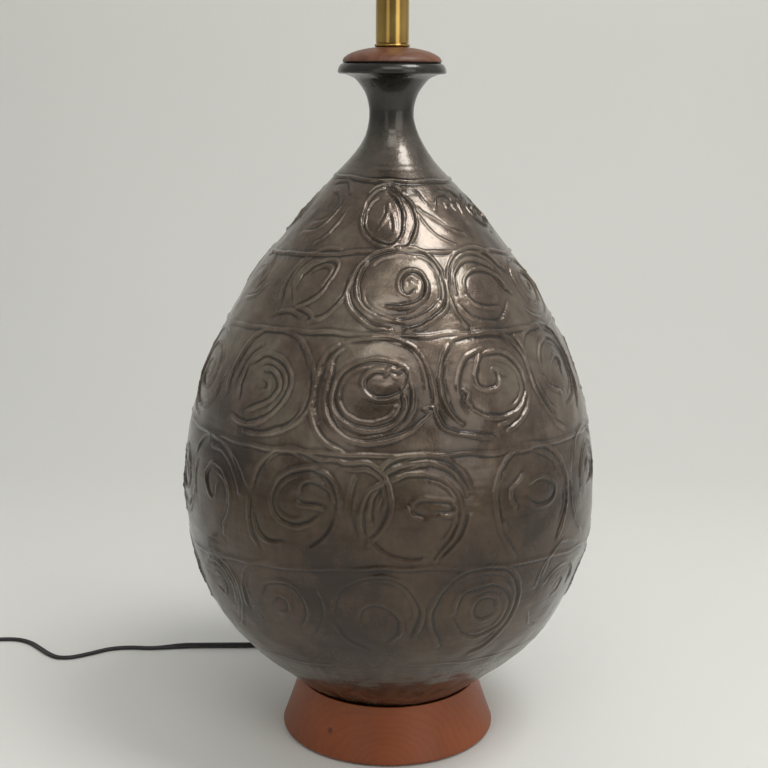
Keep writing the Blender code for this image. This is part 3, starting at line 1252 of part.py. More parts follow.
for side, word, height in ((-1, "hot", BLADE_HEIGHT_HOT), (1, "neutral", BLADE_HEIGHT_NEUTRAL)):
    blade_x = plug_x + side * BLADE_SPACING / 2
    block("plug_blade_" + word, (BLADE_THICKNESS, blade_total, height), (blade_x, blade_middle, PLUG_AXIS), BRASS)
    cut(plug_body, block("plug_slot_" + word,
                         (BLADE_THICKNESS + 2 * SEAT_GAP, slot_length, height + 2 * SEAT_GAP),
                         (blade_x, slot_middle, PLUG_AXIS)))


# Smooth shading with hard edges kept, once every form is worked out

def settle(obj):
    """Puts the modifiers' result into the object's mesh and shades it by angle."""
    graph = bpy.context.evaluated_depsgraph_get()
    mesh = bpy.data.meshes.new_from_object(obj.evaluated_get(graph))
    mesh.name = obj.name
    obj.modifiers.clear()
    obj.data = mesh
    mesh.shade_smooth()
    mesh.set_sharp_from_angle(angle=math.radians(35))


bpy.context.view_layer.update()
for obj in list(lamp.objects):
    if obj.type == "MESH":
        settle(obj)
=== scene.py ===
import math

import bmesh
import bpy
import numpy as np
from mathutils import Matrix, Vector


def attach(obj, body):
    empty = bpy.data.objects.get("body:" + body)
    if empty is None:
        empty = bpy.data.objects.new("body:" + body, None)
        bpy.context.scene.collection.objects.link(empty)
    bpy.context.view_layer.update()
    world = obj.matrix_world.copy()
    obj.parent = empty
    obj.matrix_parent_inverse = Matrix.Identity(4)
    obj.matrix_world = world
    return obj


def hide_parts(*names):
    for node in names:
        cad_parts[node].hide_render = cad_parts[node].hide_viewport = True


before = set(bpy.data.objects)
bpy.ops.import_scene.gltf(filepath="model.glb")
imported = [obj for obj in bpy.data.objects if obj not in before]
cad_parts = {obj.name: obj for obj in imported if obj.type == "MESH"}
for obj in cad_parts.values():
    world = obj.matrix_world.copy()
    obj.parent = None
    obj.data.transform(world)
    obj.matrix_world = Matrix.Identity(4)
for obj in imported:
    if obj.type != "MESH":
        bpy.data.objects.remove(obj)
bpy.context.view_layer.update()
scene = bpy.context.scene
scene.view_settings.view_transform = "Standard"


# Camera. A normal lens a little over a metre in front of the lamp, level with its neck, looking
# down at the belly and turned a hair clockwise, so that the neck runs out of the top of the view.

CAMERA_PLACE = (0.0, -1.0925, 0.5328)
DOWNWARD = math.radians(12.45)
CLOCKWISE = math.radians(0.40)
lens = bpy.data.cameras.new("camera")
lens.lens = 65.0
lens.sensor_width = 36.0
lens.shift_x = -5.9 / 768
camera = bpy.data.objects.new("camera", lens)
camera.matrix_world = (
    Matrix.Translation(CAMERA_PLACE)
    @ Matrix.Rotation(math.pi / 2 - DOWNWARD, 4, "X")
    @ Matrix.Rotation(CLOCKWISE, 4, "Z")
)
scene.collection.objects.link(camera)
scene.camera = camera


# Cord. Black flat twin flex, two vinyl-covered conductors side by side, that leaves the base's
# strain relief at the back, lies away to the left and ends in a wound coil beside its plug.

CORD_WIDTH = 0.0053
LOBE_RADIUS = 0.00135
CORD_RADIUS = CORD_WIDTH / 2
CORD_REST = CORD_RADIUS + 0.0001
EXIT_HEIGHT = 0.0110
CORD_EXIT = (0.0, 0.10742, EXIT_HEIGHT)
COIL_CENTRE = (-0.4371, 0.1130)
COIL_RADIUS = 0.0414
COIL_PITCH = 0.0059
COIL_QUARTERS = 25
PLUG_AXIS = 0.0070
CORD_ROUTE = (
    CORD_EXIT,
    (0.0000, 0.1240, 0.0106),
    (-0.0020, 0.1400, 0.0070),
    (-0.0110, 0.1560, 0.0036),
    (-0.0300, 0.1660, CORD_REST),
    (-0.0560, 0.1650, CORD_REST),
    (-0.0820, 0.1570, CORD_REST),
    (-0.1080, 0.1500, CORD_REST),
    (-0.1319, 0.1475, CORD_REST),
    (-0.1700, 0.1462, CORD_REST),
    (-0.2000, 0.1445, CORD_REST),
    (-0.2265, 0.1416, CORD_REST),
    (-0.2460, 0.1424, CORD_REST),
    (-0.2640, 0.1386, CORD_REST),
    (-0.2806, 0.1277, CORD_REST),
    (-0.2960, 0.1190, CORD_REST),
    (-0.3090, 0.1187, CORD_REST),
    (-0.3200, 0.1270, CORD_REST),
    (-0.3310, 0.1394, CORD_REST),
    (-0.3430, 0.1520, CORD_REST),
    (-0.3570, 0.1595, CORD_REST),
    (-0.3742, 0.1600, CORD_REST),
    (-0.3950, 0.1570, CORD_REST),
    (-0.4150, 0.1549, CORD_REST),
    (COIL_CENTRE[0] + CORD_WIDTH, COIL_CENTRE[1] + COIL_RADIUS, CORD_REST),
)
# Roll of the cord along the floor, as (x, degrees): 0 lies flat and 90 stands on its edge
ROLL_BY_X = ((-0.4315, 90.0), (-0.3900, 0.0), (-0.2150, 0.0), (-0.1850, 90.0), (0.0, 90.0))


def smooth_line(points, per_span):
    """Catmull-Rom curve through the points: between two of them a cubic whose slope at each is
    half the step from the point before to the point after."""
    given = np.array(points, dtype=float)
    ends = np.vstack([2 * given[0] - given[1], given, 2 * given[-1] - given[-2]])
    t = np.linspace(0.0, 1.0, per_span, endpoint=False)[:, None]
    read = []
    for before, start, end, after in zip(ends, ends[1:], ends[2:], ends[3:]):
        bend = 2 * before - 5 * start + 4 * end - after
        twist = 3 * start - before - 3 * end + after
        read.append(start + 0.5 * (t * (end - before) + t**2 * bend + t**3 * twist))
    return np.vstack(read + [given[-1:]])


def distance_along(points):
    """Running length of a line of points, 0 at its first."""
    return np.concatenate([[0.0], np.cumsum(np.linalg.norm(np.diff(points, axis=0), axis=1))])


def spaced(points, spacing):
    """The same line read at equal steps of about one spacing along it."""
    along = distance_along(points)
    wanted = np.linspace(0.0, along[-1], max(2, round(along[-1] / spacing)) + 1)
    return np.stack([np.interp(wanted, along, points[:, k]) for k in range(points.shape[1])], 1)


def coil_line():
    """Flat spiral in, radius falling by one pitch a turn, a climb of one pitch in the middle half
    turn, and the same spiral out on top, then a short tail down to the plug."""
    turns = np.linspace(0.0, COIL_QUARTERS / 4, COIL_QUARTERS * 18 + 1)
    half = turns[-1] / 2
    radius = COIL_RADIUS - COIL_PITCH * (half - np.abs(turns - half))
    climb = np.clip((turns - half) * 2 + 0.5, 0.0, 1.0)
    height = CORD_REST + COIL_PITCH * climb**2 * (3 - 2 * climb)
    angle = math.tau * (turns + 0.25)
    centre_x, centre_y = COIL_CENTRE
    line = np.stack([centre_x + radius * np.cos(angle), centre_y + radius * np.sin(angle), height], 1)
    drop = height[-1] - PLUG_AXIS
    tail = [(line[-1, 0], centre_y - s * CORD_RADIUS, height[-1] - d * drop)
            for s, d in ((0, 0), (2, 0), (4, 0.25), (6, 0.75), (8, 1), (11, 1))]
    return np.vstack([line, smooth_line(tail, 6)[1:]])


def evened(values):
    """Each value's mean with the four before it and the four after it."""
    return np.convolve(np.pad(values, 4, "edge"), np.full(9, 1 / 9), "valid")


def grid_faces(rows, columns, wrap_rows=False):
    """Quads of a grid whose columns close on themselves, and its rows too where asked."""
    i = np.arange(rows if wrap_rows else rows - 1)[:, None]
    j = np.arange(columns)[None]
    a = i * columns + j
    b = i * columns + (j + 1) % columns
    up = (i + 1) % rows
    quads = np.stack([a, b, up * columns + (j + 1) % columns, up * columns + j], -1)
    return quads.reshape(-1, 4).tolist()


def swept(path, section, side, over):
    """Shell of a section carried along a path: each point is the path's own, plus the section's
    first coordinate along side and its second along over. Section, side and over may be one for
    the whole path. Its two ends are closed flat."""
    points = path[:, None] + section[..., :1] * side[:, None] + section[..., 1:] * over[:, None]
    rows, columns = points.shape[:2]
    faces = grid_faces(rows, columns)
    faces += [tuple(range(columns))[::-1], tuple(range((rows - 1) * columns, rows * columns))]
    return points.reshape(-1, 3), faces


def piece(name, shells, material, body, slot, *nodes, angle=35.0):
    """One mesh object from closed shells, each an array of points with its faces, put on a body
    in place of the CAD nodes named."""
    points, faces, start = [], [], 0
    for shell_points, shell_faces in shells:
        points.append(np.asarray(shell_points))
        faces += [tuple(k + start for k in face) for face in shell_faces]
        start += len(shell_points)
    mesh = bpy.data.meshes.new(name)
    mesh.from_pydata(np.vstack(points).tolist(), [], faces)
    work = bmesh.new()
    work.from_mesh(mesh)
    bmesh.ops.remove_doubles(work, verts=work.verts, dist=1e-7)
    bmesh.ops.recalc_face_normals(work, faces=work.faces)
    work.to_mesh(mesh)
    work.free()
    mesh.shade_smooth()
    mesh.set_sharp_from_angle(angle=math.radians(angle))
    mesh.materials.append(material)
    made = bpy.data.objects.new(name, mesh)
    scene.collection.objects.link(made)
    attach(made, body)
    if nodes:
        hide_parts(*nodes)
    return made


def linear(hex_code):
    """Linear RGBA of an sRGB hex colour."""
    parts = np.array([int(hex_code[k:k + 2], 16) / 255 for k in (1, 3, 5)])
    low = parts / 12.92
    high = ((parts + 0.055) / 1.055) ** 2.4
    return (*np.where(parts <= 0.04045, low, high).tolist(), 1.0)


def add(tree, kind, inputs=None, stops=None, **settings):
    """Adds a node, sets its properties and a ramp's stops, and fills its inputs: an output socket
    is linked, a hex colour is turned linear and a number is set."""
    made = tree.nodes.new("ShaderNode" + kind)
    for key, value in settings.items():
        setattr(made, key, value)
    if stops:
        ramp = made.color_ramp
        while len(ramp.elements) < len(stops):
            ramp.elements.new(0.5)
        for element, (position, colour) in zip(ramp.elements, stops):
            element.position = position
            element.color = linear(colour)
    for key, value in (inputs or {}).items():
        socket = made.inputs[key]
        if isinstance(value, bpy.types.NodeSocket):
            tree.links.new(value, socket)
        else:
            socket.default_value = linear(value) if isinstance(value, str) else value
    return made


def new_material(name, **values):
    """A new material: itself, its node tree, its Principled shader with the values set, and the
    output of the object's own coordinates, in metres."""
    made = bpy.data.materials.new(name)
    made.use_nodes = True
    tree = made.node_tree
    shader = tree.nodes["Principled BSDF"]
    for key, value in values.items():
        shader.inputs[key.replace("_", " ")].default_value = value
    return made, tree, shader, add(tree, "TexCoord").outputs["Object"]


def noise(tree, place, size, detail, roughness=0.5, output="Fac"):
    """Cloudy noise whose largest patches are about so many mm across."""
    settings = {"Vector": place, "Scale": 1000 / size, "Detail": detail, "Roughness": roughness}
    return add(tree, "TexNoise", settings).outputs[output]


def ramp(tree, value, *stops):
    """The colour at a value between stops of (value, sRGB hex)."""
    return add(tree, "ValToRGB", {"Fac": value}, stops).outputs["Color"]


def mapped(tree, value, start, end, low, high, kind="LINEAR"):
    """A value's share of the way from start to end, as a number from low to high."""
    settings = {"Value": value, "From Min": start, "From Max": end, "To Min": low, "To Max": high}
    return add(tree, "MapRange", settings, interpolation_type=kind).outputs["Result"]


def scaled(tree, vector, factor):
    """A vector or colour times a number."""
    return add(tree, "VectorMath", {0: vector, "Scale": factor}, operation="SCALE").outputs["Vector"]


def combined(tree, operation, first, second):
    """Two vectors or colours put through one operation, number by number."""
    return add(tree, "VectorMath", {0: first, 1: second}, operation=operation).outputs["Vector"]


def bumped(tree, height, strength, depth):
    """The normal of a skin whose height varies, by a strength and a depth in metres."""
    return add(tree, "Bump", {"Height": height, "Strength": strength, "Distance": depth}).outputs["Normal"]


def feed(tree, shader, colour, gloss=None, skin=None):
    """Links a colour and, where given, a roughness and a normal into the shader."""
    for key, socket in (("Base Color", colour), ("Roughness", gloss), ("Normal", skin)):
        if socket is not None:
            tree.links.new(socket, shader.inputs[key])


def clouded_material(name, size, detail, dark, light, bump, gloss=None, stretch=None, fine=0.5, **values):
    """A material that one cloud of noise, stretched where asked, varies in all it has: its colour
    from dark to light, its height by (strength, depth in metres), and its roughness over gloss."""
    made, tree, shader, place = new_material(name, **values)
    if stretch:
        place = add(tree, "Mapping", {"Vector": place, "Scale": stretch}).outputs["Vector"]
    cloud = noise(tree, place, size, detail, fine)
    roughness = mapped(tree, cloud, 0.0, 1.0, *gloss) if gloss else None
    feed(tree, shader, ramp(tree, cloud, (0.3, dark), (0.7, light)), roughness, bumped(tree, cloud, *bump))
    return made


# Flexible vinyl, extruded: satin black with a slightly greyed bloom and a faint orange-peel skin
vinyl, tree, shader, place = new_material("flexible_vinyl", Roughness=0.42, IOR=1.53)
bloom = noise(tree, place, 14, 4.0)
tone = ramp(tree, bloom, (0.35, "#17171a"), (0.65, "#232326"))
peel = noise(tree, place, 0.9, 2.0)
skin = bumped(tree, peel, 0.12, 0.0002)
gloss = mapped(tree, bloom, 0.0, 1.0, 0.34, 0.5)
feed(tree, shader, tone, gloss, skin)

# The cord's line, its roll and its height over the floor: flat on its way, on edge in the coil and
# flat again into the plug
run = spaced(smooth_line(CORD_ROUTE, 12), 0.0025)
cord_path = np.vstack([run, coil_line()])
moved_on = np.linalg.norm(np.diff(cord_path, axis=0), axis=1) > 0.0006
cord_path = spaced(cord_path[np.concatenate([[True], moved_on])], 0.0022)
along = distance_along(cord_path)
on_floor = along < distance_along(run)[-1]
roll_x = np.interp(cord_path[:, 0], [x for x, _ in ROLL_BY_X], [a for _, a in ROLL_BY_X])
roll = np.where(on_floor, roll_x, 90.0)
to_plug = along[-1] - along
roll = np.where(to_plug < 0.024, 90.0 * np.clip((to_plug - 0.004) / 0.020, 0.0, 1.0), roll)
roll = np.radians(evened(roll))
flat_height = LOBE_RADIUS + 0.0001 + (CORD_RADIUS - LOBE_RADIUS) * np.sin(roll)
lying = cord_path[:, 2] < CORD_REST + 0.0001
cord_path[lying, 2] = flat_height[lying]
cord_path[:, 2] = np.maximum(evened(cord_path[:, 2]), flat_height)
cord_path[0] = CORD_EXIT
# The section's two sides at each point, turned by the roll, and the section: two round lobes
ahead = np.gradient(cord_path, axis=0)
ahead /= np.linalg.norm(ahead, axis=1)[:, None]
level = np.cross(ahead, (0.0, 0.0, 1.0))
level /= np.linalg.norm(level, axis=1)[:, None]
upward = np.cross(level, ahead)
across = level * np.cos(roll)[:, None] + upward * np.sin(roll)[:, None]
over = upward * np.cos(roll)[:, None] - level * np.sin(roll)[:, None]
lobe = np.radians(np.linspace(-152.0, 152.0, 11))
lobe_x = CORD_RADIUS - LOBE_RADIUS + LOBE_RADIUS * np.cos(lobe)
lobe_y = LOBE_RADIUS * np.sin(lobe)
twin_section = np.concatenate([np.stack([lobe_x, lobe_y], 1), np.stack([-lobe_x, -lobe_y], 1)])
cord = piece("flat_cord", [swept(cord_path, twin_section, across, over)], vinyl, "lamp", "vinyl",
             "cord_run", "cord_coil", angle=60.0)


# Plug. Two-pole flat plug moulded onto the cord in the same vinyl, with finger ribs on both
# broad faces and two flat brass blades.

PLUG_START = (float(cord_path[-1, 0]), COIL_CENTRE[1] - 11 * CORD_RADIUS - 0.0003)
PLUG_LENGTH = 0.0320
PLUG_HALF_HEIGHT = 0.0070
RIB_COUNT = 6
RIB_DEPTH = 0.0010
RIB_START, RIB_END = 0.40, 0.86
# Half widths, as (share of the plug's length, metres)
PLUG_WIDTHS = ((0.00, 0.0050), (0.06, 0.0055), (0.16, 0.0058), (0.34, 0.0091), (0.52, 0.0115),
               (0.70, 0.0120), (0.90, 0.0118), (0.97, 0.0114), (1.00, 0.0104))
# Widths and heights along the plug, its ribs as a cosine, and a section of squared circles
along_plug = np.linspace(0.0, 1.0, 97)
half_width = evened(np.interp(along_plug, [a for a, _ in PLUG_WIDTHS], [w for _, w in PLUG_WIDTHS]))
rib_share = (along_plug - RIB_START) / (RIB_END - RIB_START)
ribbed = (rib_share > 0.0) & (rib_share < 1.0)
hollow = np.where(ribbed, 0.5 - 0.5 * np.cos(rib_share * math.tau * RIB_COUNT), 0.0)
half_height = PLUG_HALF_HEIGHT * np.minimum(1.0, 0.62 + 1.5 * along_plug)
half_height = half_height * np.minimum(1.0, 0.90 + 3.0 * (1 - along_plug)) - RIB_DEPTH * hollow
around = np.linspace(0.0, math.tau, 64, endpoint=False)
squared_cos = np.sign(np.cos(around)) * np.abs(np.cos(around)) ** 0.5
squared_sin = np.sign(np.sin(around)) * np.abs(np.sin(around)) ** 0.5
plug_section = np.stack([half_width[:, None] * squared_cos, half_height[:, None] * squared_sin], -1)
plug_path = np.array((*PLUG_START, PLUG_AXIS)) - along_plug[:, None] * (0.0, PLUG_LENGTH, 0.0)
plug_shell = swept(plug_path, plug_section, np.array([[1.0, 0.0, 0.0]]), np.array([[0.0, 0.0, 1.0]]))
plug = piece("flat_plug", [plug_shell], vinyl, "lamp", "vinyl", "plug_body")


# Strain relief. A tapered vinyl sleeve with a collar, pushed into the hole in the back of the
# base and ringed where it flexes.

BUSHING_START = 0.0580
BUSHING_COLLAR = (0.0804, 0.0824)
BUSHING_TIP = 0.10712


def turned(profile, steps=96, ring=True):
    """Shell of a turned form: the profile's (radius, height) points carried round Z in equal
    steps. A ring's profile closes on itself; any other starts and ends on the axis."""
    turn = np.linspace(0.0, math.tau, steps, endpoint=False)
    radius, height = np.array(profile, dtype=float).T
    points = np.stack([radius[:, None] * np.cos(turn), radius[:, None] * np.sin(turn),
                       np.repeat(height[:, None], steps, 1)], -1).reshape(-1, 3)
    return points, grid_faces(len(profile), steps, wrap_rows=ring)


def arc(centre_r, centre_z, radius_r, radius_z, start, end, steps):
    """Points on an ellipse, angles in degrees from +radius towards +height."""
    a = np.radians(np.linspace(start, end, steps + 1))
    return list(zip(centre_r + radius_r * np.cos(a), centre_z + radius_z * np.sin(a)))


def placed(shell, matrix):
    """The same shell moved by a matrix."""
    points, faces = shell
    turn = np.array(matrix.to_3x3())
    return points @ turn.T + np.array(matrix.translation), faces


taper_y = np.linspace(BUSHING_COLLAR[1], BUSHING_TIP, 45)
taper_share = (taper_y - taper_y[0]) / (taper_y[-1] - taper_y[0])
taper_r = 0.0047 - taper_share * 0.0009 - 0.0004 * (0.5 - 0.5 * np.cos(taper_share * math.tau * 6))
bushing_profile = [(0.0030, BUSHING_START), (0.0047, BUSHING_START), (0.0047, BUSHING_COLLAR[0])]
bushing_profile += [(0.0058, BUSHING_COLLAR[0]), (0.0062, BUSHING_COLLAR[0] + 0.0004),
                    (0.0062, BUSHING_COLLAR[1] - 0.0006), (0.0056, BUSHING_COLLAR[1])]
bushing_profile += list(zip(taper_r, taper_y)) + [(0.0030, BUSHING_TIP)]
to_back = Matrix.Translation((0.0, 0.0, EXIT_HEIGHT)) @ Matrix.Rotation(-math.pi / 2, 4, "X")
piece("strain_relief", [placed(turned(bushing_profile, 48), to_back)], vinyl, "lamp", "vinyl",
      "cord_bushing")


# Floor, backdrop and light. A pale paper sweep, a soft light high on the right, a broad weak one
# high in front, tall strip lights in front on both sides, and a pale room, dimmer in front and on
# the left.

FLOOR_REACH = 14.0
PAPER_HALF = 3.2
SWEEP_START = 0.75
SWEEP_RADIUS = 0.60
WALL_TOP = 3.2
sweep_profile = [(-FLOOR_REACH, 0.0)] + [(y, 0.0) for y in np.linspace(-1.0, SWEEP_START, 8)]
sweep_profile += [(SWEEP_START + SWEEP_RADIUS * math.sin(a), SWEEP_RADIUS * (1 - math.cos(a)))
                  for a in np.radians(np.linspace(5, 90, 18))] + [(SWEEP_START + SWEEP_RADIUS, WALL_TOP)]
sweep_mesh = bpy.data.meshes.new("paper_sweep")
sweep_points = [(x, y, z) for x in (-PAPER_HALF, PAPER_HALF) for y, z in sweep_profile]
count = len(sweep_profile)
sweep_faces = [(k, k + count, k + count + 1, k + 1) for k in range(count - 1)]
# The floor goes on flat beside the paper and behind its rise
for left, right, front, far in ((-FLOOR_REACH, -PAPER_HALF, -FLOOR_REACH, FLOOR_REACH),
                                (PAPER_HALF, FLOOR_REACH, -FLOOR_REACH, FLOOR_REACH),
                                (-PAPER_HALF, PAPER_HALF, SWEEP_START, FLOOR_REACH)):
    start = len(sweep_points)
    sweep_points += [(left, front, 0.0), (right, front, 0.0), (right, far, 0.0), (left, far, 0.0)]
    sweep_faces.append((start, start + 1, start + 2, start + 3))
sweep_mesh.from_pydata(sweep_points, [], sweep_faces)
sweep_mesh.shade_smooth()
paper, tree, shader, place = new_material("matte_paper", Roughness=0.9, Specular_IOR_Level=0.2)
cloud = noise(tree, place, 900, 2.0)
tone = ramp(tree, cloud, (0.2, "#ebebe8"), (0.8, "#efefec"))
back = add(tree, "SeparateXYZ", {"Vector": place}).outputs["Y"]
# Painted shade: the paper's colour is darkened by up to 7% towards its back and up its wall
painted_back_shade = mapped(tree, back, 0.35, 1.20, 1.0, 0.93, "SMOOTHSTEP")
tone = scaled(tree, tone, painted_back_shade)
feed(tree, shader, tone)
# The paper shows from its front only, so that it never hides the lamp from behind
behind = add(tree, "NewGeometry").outputs["Backfacing"]
clear = add(tree, "BsdfTransparent").outputs["BSDF"]
seen = add(tree, "MixShader", {0: behind, 1: shader.outputs["BSDF"], 2: clear})
tree.links.new(seen.outputs["Shader"], tree.nodes["Material Output"].inputs["Surface"])
sweep_mesh.materials.append(paper)
sweep = bpy.data.objects.new("paper_sweep", sweep_mesh)
scene.collection.objects.link(sweep)


def soft_light(name, place, target, size, power, colour):
    """A rectangular area light at a place, facing a target and not itself seen by the camera."""
    light = bpy.data.lights.new(name, "AREA")
    light.shape = "RECTANGLE"
    light.size, light.size_y = size
    light.energy = power
    light.color = linear(colour)[:3]
    made = bpy.data.objects.new(name, light)
    toward = Vector(target) - Vector(place)
    made.rotation_euler = toward.to_track_quat("-Z", "Y").to_euler()
    made.location = place
    made.visible_camera = False
    scene.collection.objects.link(made)


soft_light("key", (0.83, -0.44, 2.08), (0.0, 0.0, 0.42), (0.70, 0.70), 17.0, "#fffefc")
soft_light("front", (0.05, -1.75, 2.15), (0.0, 0.0, 0.30), (1.50, 0.90), 10.5, "#fffcf6")
soft_light("right_strip", (1.40, -1.82, 1.05), (0.0, 0.0, 0.45), (1.10, 1.70), 8.5, "#fffaf2")
soft_light("left_strip", (-1.15, -1.90, 0.95), (0.0, 0.0, 0.45), (0.80, 1.50), 2.4, "#fffaf2")
room = bpy.data.worlds.new("room")
room.use_nodes = True
scene.world = room
tree = room.node_tree
way = add(tree, "SeparateXYZ", {"Vector": add(tree, "TexCoord").outputs["Generated"]}).outputs
round_room = mapped(tree, way["Y"], -1.0, 0.0, 0.32, 0.735, "SMOOTHSTEP")
upward = mapped(tree, way["Z"], 0.2, 0.9, 0.0, -0.08)
leftward = mapped(tree, way["X"], -1.0, 0.1, 0.62, 1.0)
level = add(tree, "Math", {0: round_room, 1: upward}, operation="ADD").outputs["Value"]
level = add(tree, "Math", {0: level, 1: leftward}, operation="MULTIPLY").outputs["Value"]
tree.nodes["Background"].inputs["Color"].default_value = linear("#eaebe8")
tree.links.new(level, tree.nodes["Background"].inputs["Strength"])


# Felt pad. A disc of black wool felt glued under the base, so that the lamp doesn't mark a table.

felt = clouded_material("wool_felt", 0.8, 6.0, "#0f0f10", "#2a2a2c", (0.6, 0.0006), fine=0.7, Roughness=0.95,
                        Sheen_Weight=0.4, Sheen_Roughness=0.5)
pad_profile = [(0.0, 0.0015), (0.0836, 0.0015), (0.0840, 0.0011), (0.0840, 0.0003), (0.0837, 0.0),
               (0.0, 0.0)]
piece("felt_disc", [turned(pad_profile, 128, ring=False)], felt, "lamp", "felt", "felt_pad")


# Walnut base. A solid block turned to a flared ring, dished on top for the ceramic's foot, hollowed
# below for the nut and the cord, and oiled to a satin surface.

BASE_TOP = 0.0450
PIPE_HOLE = 0.0053
GROWTH_RING = 5.4
PORE = 0.35


def walnut_finish(name, pith, dark, mid, light, knot=None):
    """Walnut: growth rings round a pith line that runs front to back, drawn by a ring wave, with
    pores as short dark streaks along it, and a small knot where one is placed."""
    made, tree, shader, place = new_material(name, Roughness=0.42, IOR=1.5)
    to_pith = {"Location": tuple(-p for p in pith), "Rotation": (math.radians(4), 0.0, math.radians(-7))}
    local = add(tree, "Mapping", {"Vector": place, **to_pith}).outputs["Vector"]
    wander = noise(tree, local, 38, 2.0, output="Color")
    centred = combined(tree, "SUBTRACT", wander, (0.5, 0.5, 0.5))
    bent = combined(tree, "ADD", local, scaled(tree, centred, 0.020))
    if knot:
        to_knot = add(tree, "VectorMath", {0: place, 1: knot}, operation="DISTANCE").outputs["Value"]
        pull = mapped(tree, to_knot, 0.0, 0.012, 0.0045, 0.0, "SMOOTHSTEP")
        lift = add(tree, "CombineXYZ", {"Z": pull}).outputs["Vector"]
        bent = combined(tree, "ADD", bent, lift)
    ring_wave = {"Vector": bent, "Scale": 314 / GROWTH_RING, "Distortion": 1.2, "Detail": 3.0,
                 "Detail Scale": 0.6}
    rings = add(tree, "TexWave", ring_wave, wave_type="RINGS", rings_direction="Y",
                wave_profile="SAW").outputs["Fac"]
    tone = ramp(tree, rings, (0.0, dark), (0.35, mid), (0.85, light), (1.0, mid))
    broad = noise(tree, local, 55, 3.0)
    figure = mapped(tree, broad, 0.3, 0.7, 0.78, 1.16)
    shaded = scaled(tree, tone, figure)
    streak_place = add(tree, "Mapping", {"Vector": local, "Scale": (1.0, 0.10, 1.0)}).outputs["Vector"]
    pores = noise(tree, streak_place, 2 * PORE, 2.0)
    pore_mask = mapped(tree, pores, 0.60, 0.72, 1.0, 0.72)
    grained = scaled(tree, shaded, pore_mask)
    if knot:
        spot = mapped(tree, to_knot, 0.0012, 0.0042, 0.16, 1.0, "SMOOTHSTEP")
        grained = scaled(tree, grained, spot)
    gloss = mapped(tree, broad, 0.0, 1.0, 0.36, 0.52)
    depth = bumped(tree, pore_mask, 0.25, 0.0002)
    feed(tree, shader, grained, gloss, depth)
    return made


base_walnut = walnut_finish("oiled_walnut", (-0.012, 0.0, -0.016), "#87421b", "#8b451d", "#8e481f",
                            knot=(-0.0470, -0.0690, 0.0225))
base_profile = [(0.0729, BASE_TOP), (0.0735, BASE_TOP)]
base_profile += arc(0.0735, BASE_TOP - 0.0006, 0.0006, 0.0006, 80, 20, 3)
base_profile += [(0.0742, BASE_TOP - 0.0012), (0.0810, 0.0234), (0.0876, 0.0046)]
base_profile += arc(0.0864, 0.0034, 0.0016, 0.0016, 10, -90, 6)
base_profile += [(0.0580, 0.0018), (0.0580, 0.0221), (PIPE_HOLE, 0.0221), (PIPE_HOLE, 0.0385)]
base_profile += arc(0.0684, BASE_TOP - 0.0005, 0.0040, 0.0060, -90, 0, 8)
base = piece("turned_walnut_base", [turned(base_profile, 192)], base_walnut, "lamp", "walnut",
             "walnut_base")


def bored(obj, radius, start, end, height):
    """Cuts a round hole along Y between two distances from the axis, and applies it."""
    drill_mesh = bpy.data.meshes.new("drill")
    work = bmesh.new()
    lying = Matrix.Translation((0.0, (start + end) / 2, height)) @ Matrix.Rotation(math.pi / 2, 4, "X")
    bmesh.ops.create_cone(work, cap_ends=True, segments=48, radius1=radius, radius2=radius,
                          depth=end - start, matrix=lying)
    work.to_mesh(drill_mesh)
    work.free()
    drill = bpy.data.objects.new("drill", drill_mesh)
    scene.collection.objects.link(drill)
    hole = obj.modifiers.new("hole", "BOOLEAN")
    hole.operation, hole.solver, hole.object = "DIFFERENCE", "EXACT", drill
    bpy.context.view_layer.update()
    cut = obj.evaluated_get(bpy.context.evaluated_depsgraph_get())
    cut_mesh = bpy.data.meshes.new_from_object(cut)
    obj.modifiers.clear()
    obj.data = cut_mesh
    cut_mesh.shade_smooth()
    cut_mesh.set_sharp_from_angle(angle=math.radians(35.0))
    bpy.data.objects.remove(drill)


# The strain relief's hole, and a wider seat for its collar
bored(base, 0.0050, 0.0500, 0.0900, EXIT_HEIGHT)
bored(base, 0.0065, 0.0801, 0.0960, EXIT_HEIGHT)


# Steel hardware. Hollow lamp pipe, a washer and two hexagon nuts, all bright zinc plated; the pipe
# clamps every piece between the base and the lampholder.

PIPE_PITCH = 0.94


def zinc_finish(name, threaded=False):
    """Bright zinc plate with a fine spangle and, on the pipe, a wave of one thread pitch."""
    made, tree, shader, place = new_material(name, Metallic=1.0, Roughness=0.34)
    spangle = noise(tree, place, 2.2, 3.0)
    tone = ramp(tree, spangle, (0.3, "#a3a6a8"), (0.7, "#c2c4c2"))
    ridge = None
    if threaded:
        thread_wave = {"Vector": place, "Scale": 314 / PIPE_PITCH, "Distortion": 0.0}
        thread = add(tree, "TexWave", thread_wave, wave_type="BANDS", bands_direction="Z").outputs["Fac"]
        ridge = bumped(tree, thread, 0.35, 0.0004)
    feed(tree, shader, tone, mapped(tree, spangle, 0.0, 1.0, 0.26, 0.44), ridge)
    return made


def dress(node, material):
    """Gives a CAD node that keeps its shape its finished material."""
    mesh_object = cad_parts[node]
    for material_slot in mesh_object.material_slots:
        material_slot.material = material


zinc = zinc_finish("zinc_plated_steel")
for node in ("base_washer", "base_nut", "saddle_nut", "socket_set_screw", "terminal_screw_neutral"):
    dress(node, zinc)
dress("threaded_rod", zinc_finish("threaded_zinc_plated_steel", threaded=True))


# Gaskets. Thin black rubber rings under the ceramic's foot and on its rim, cut from sheet.

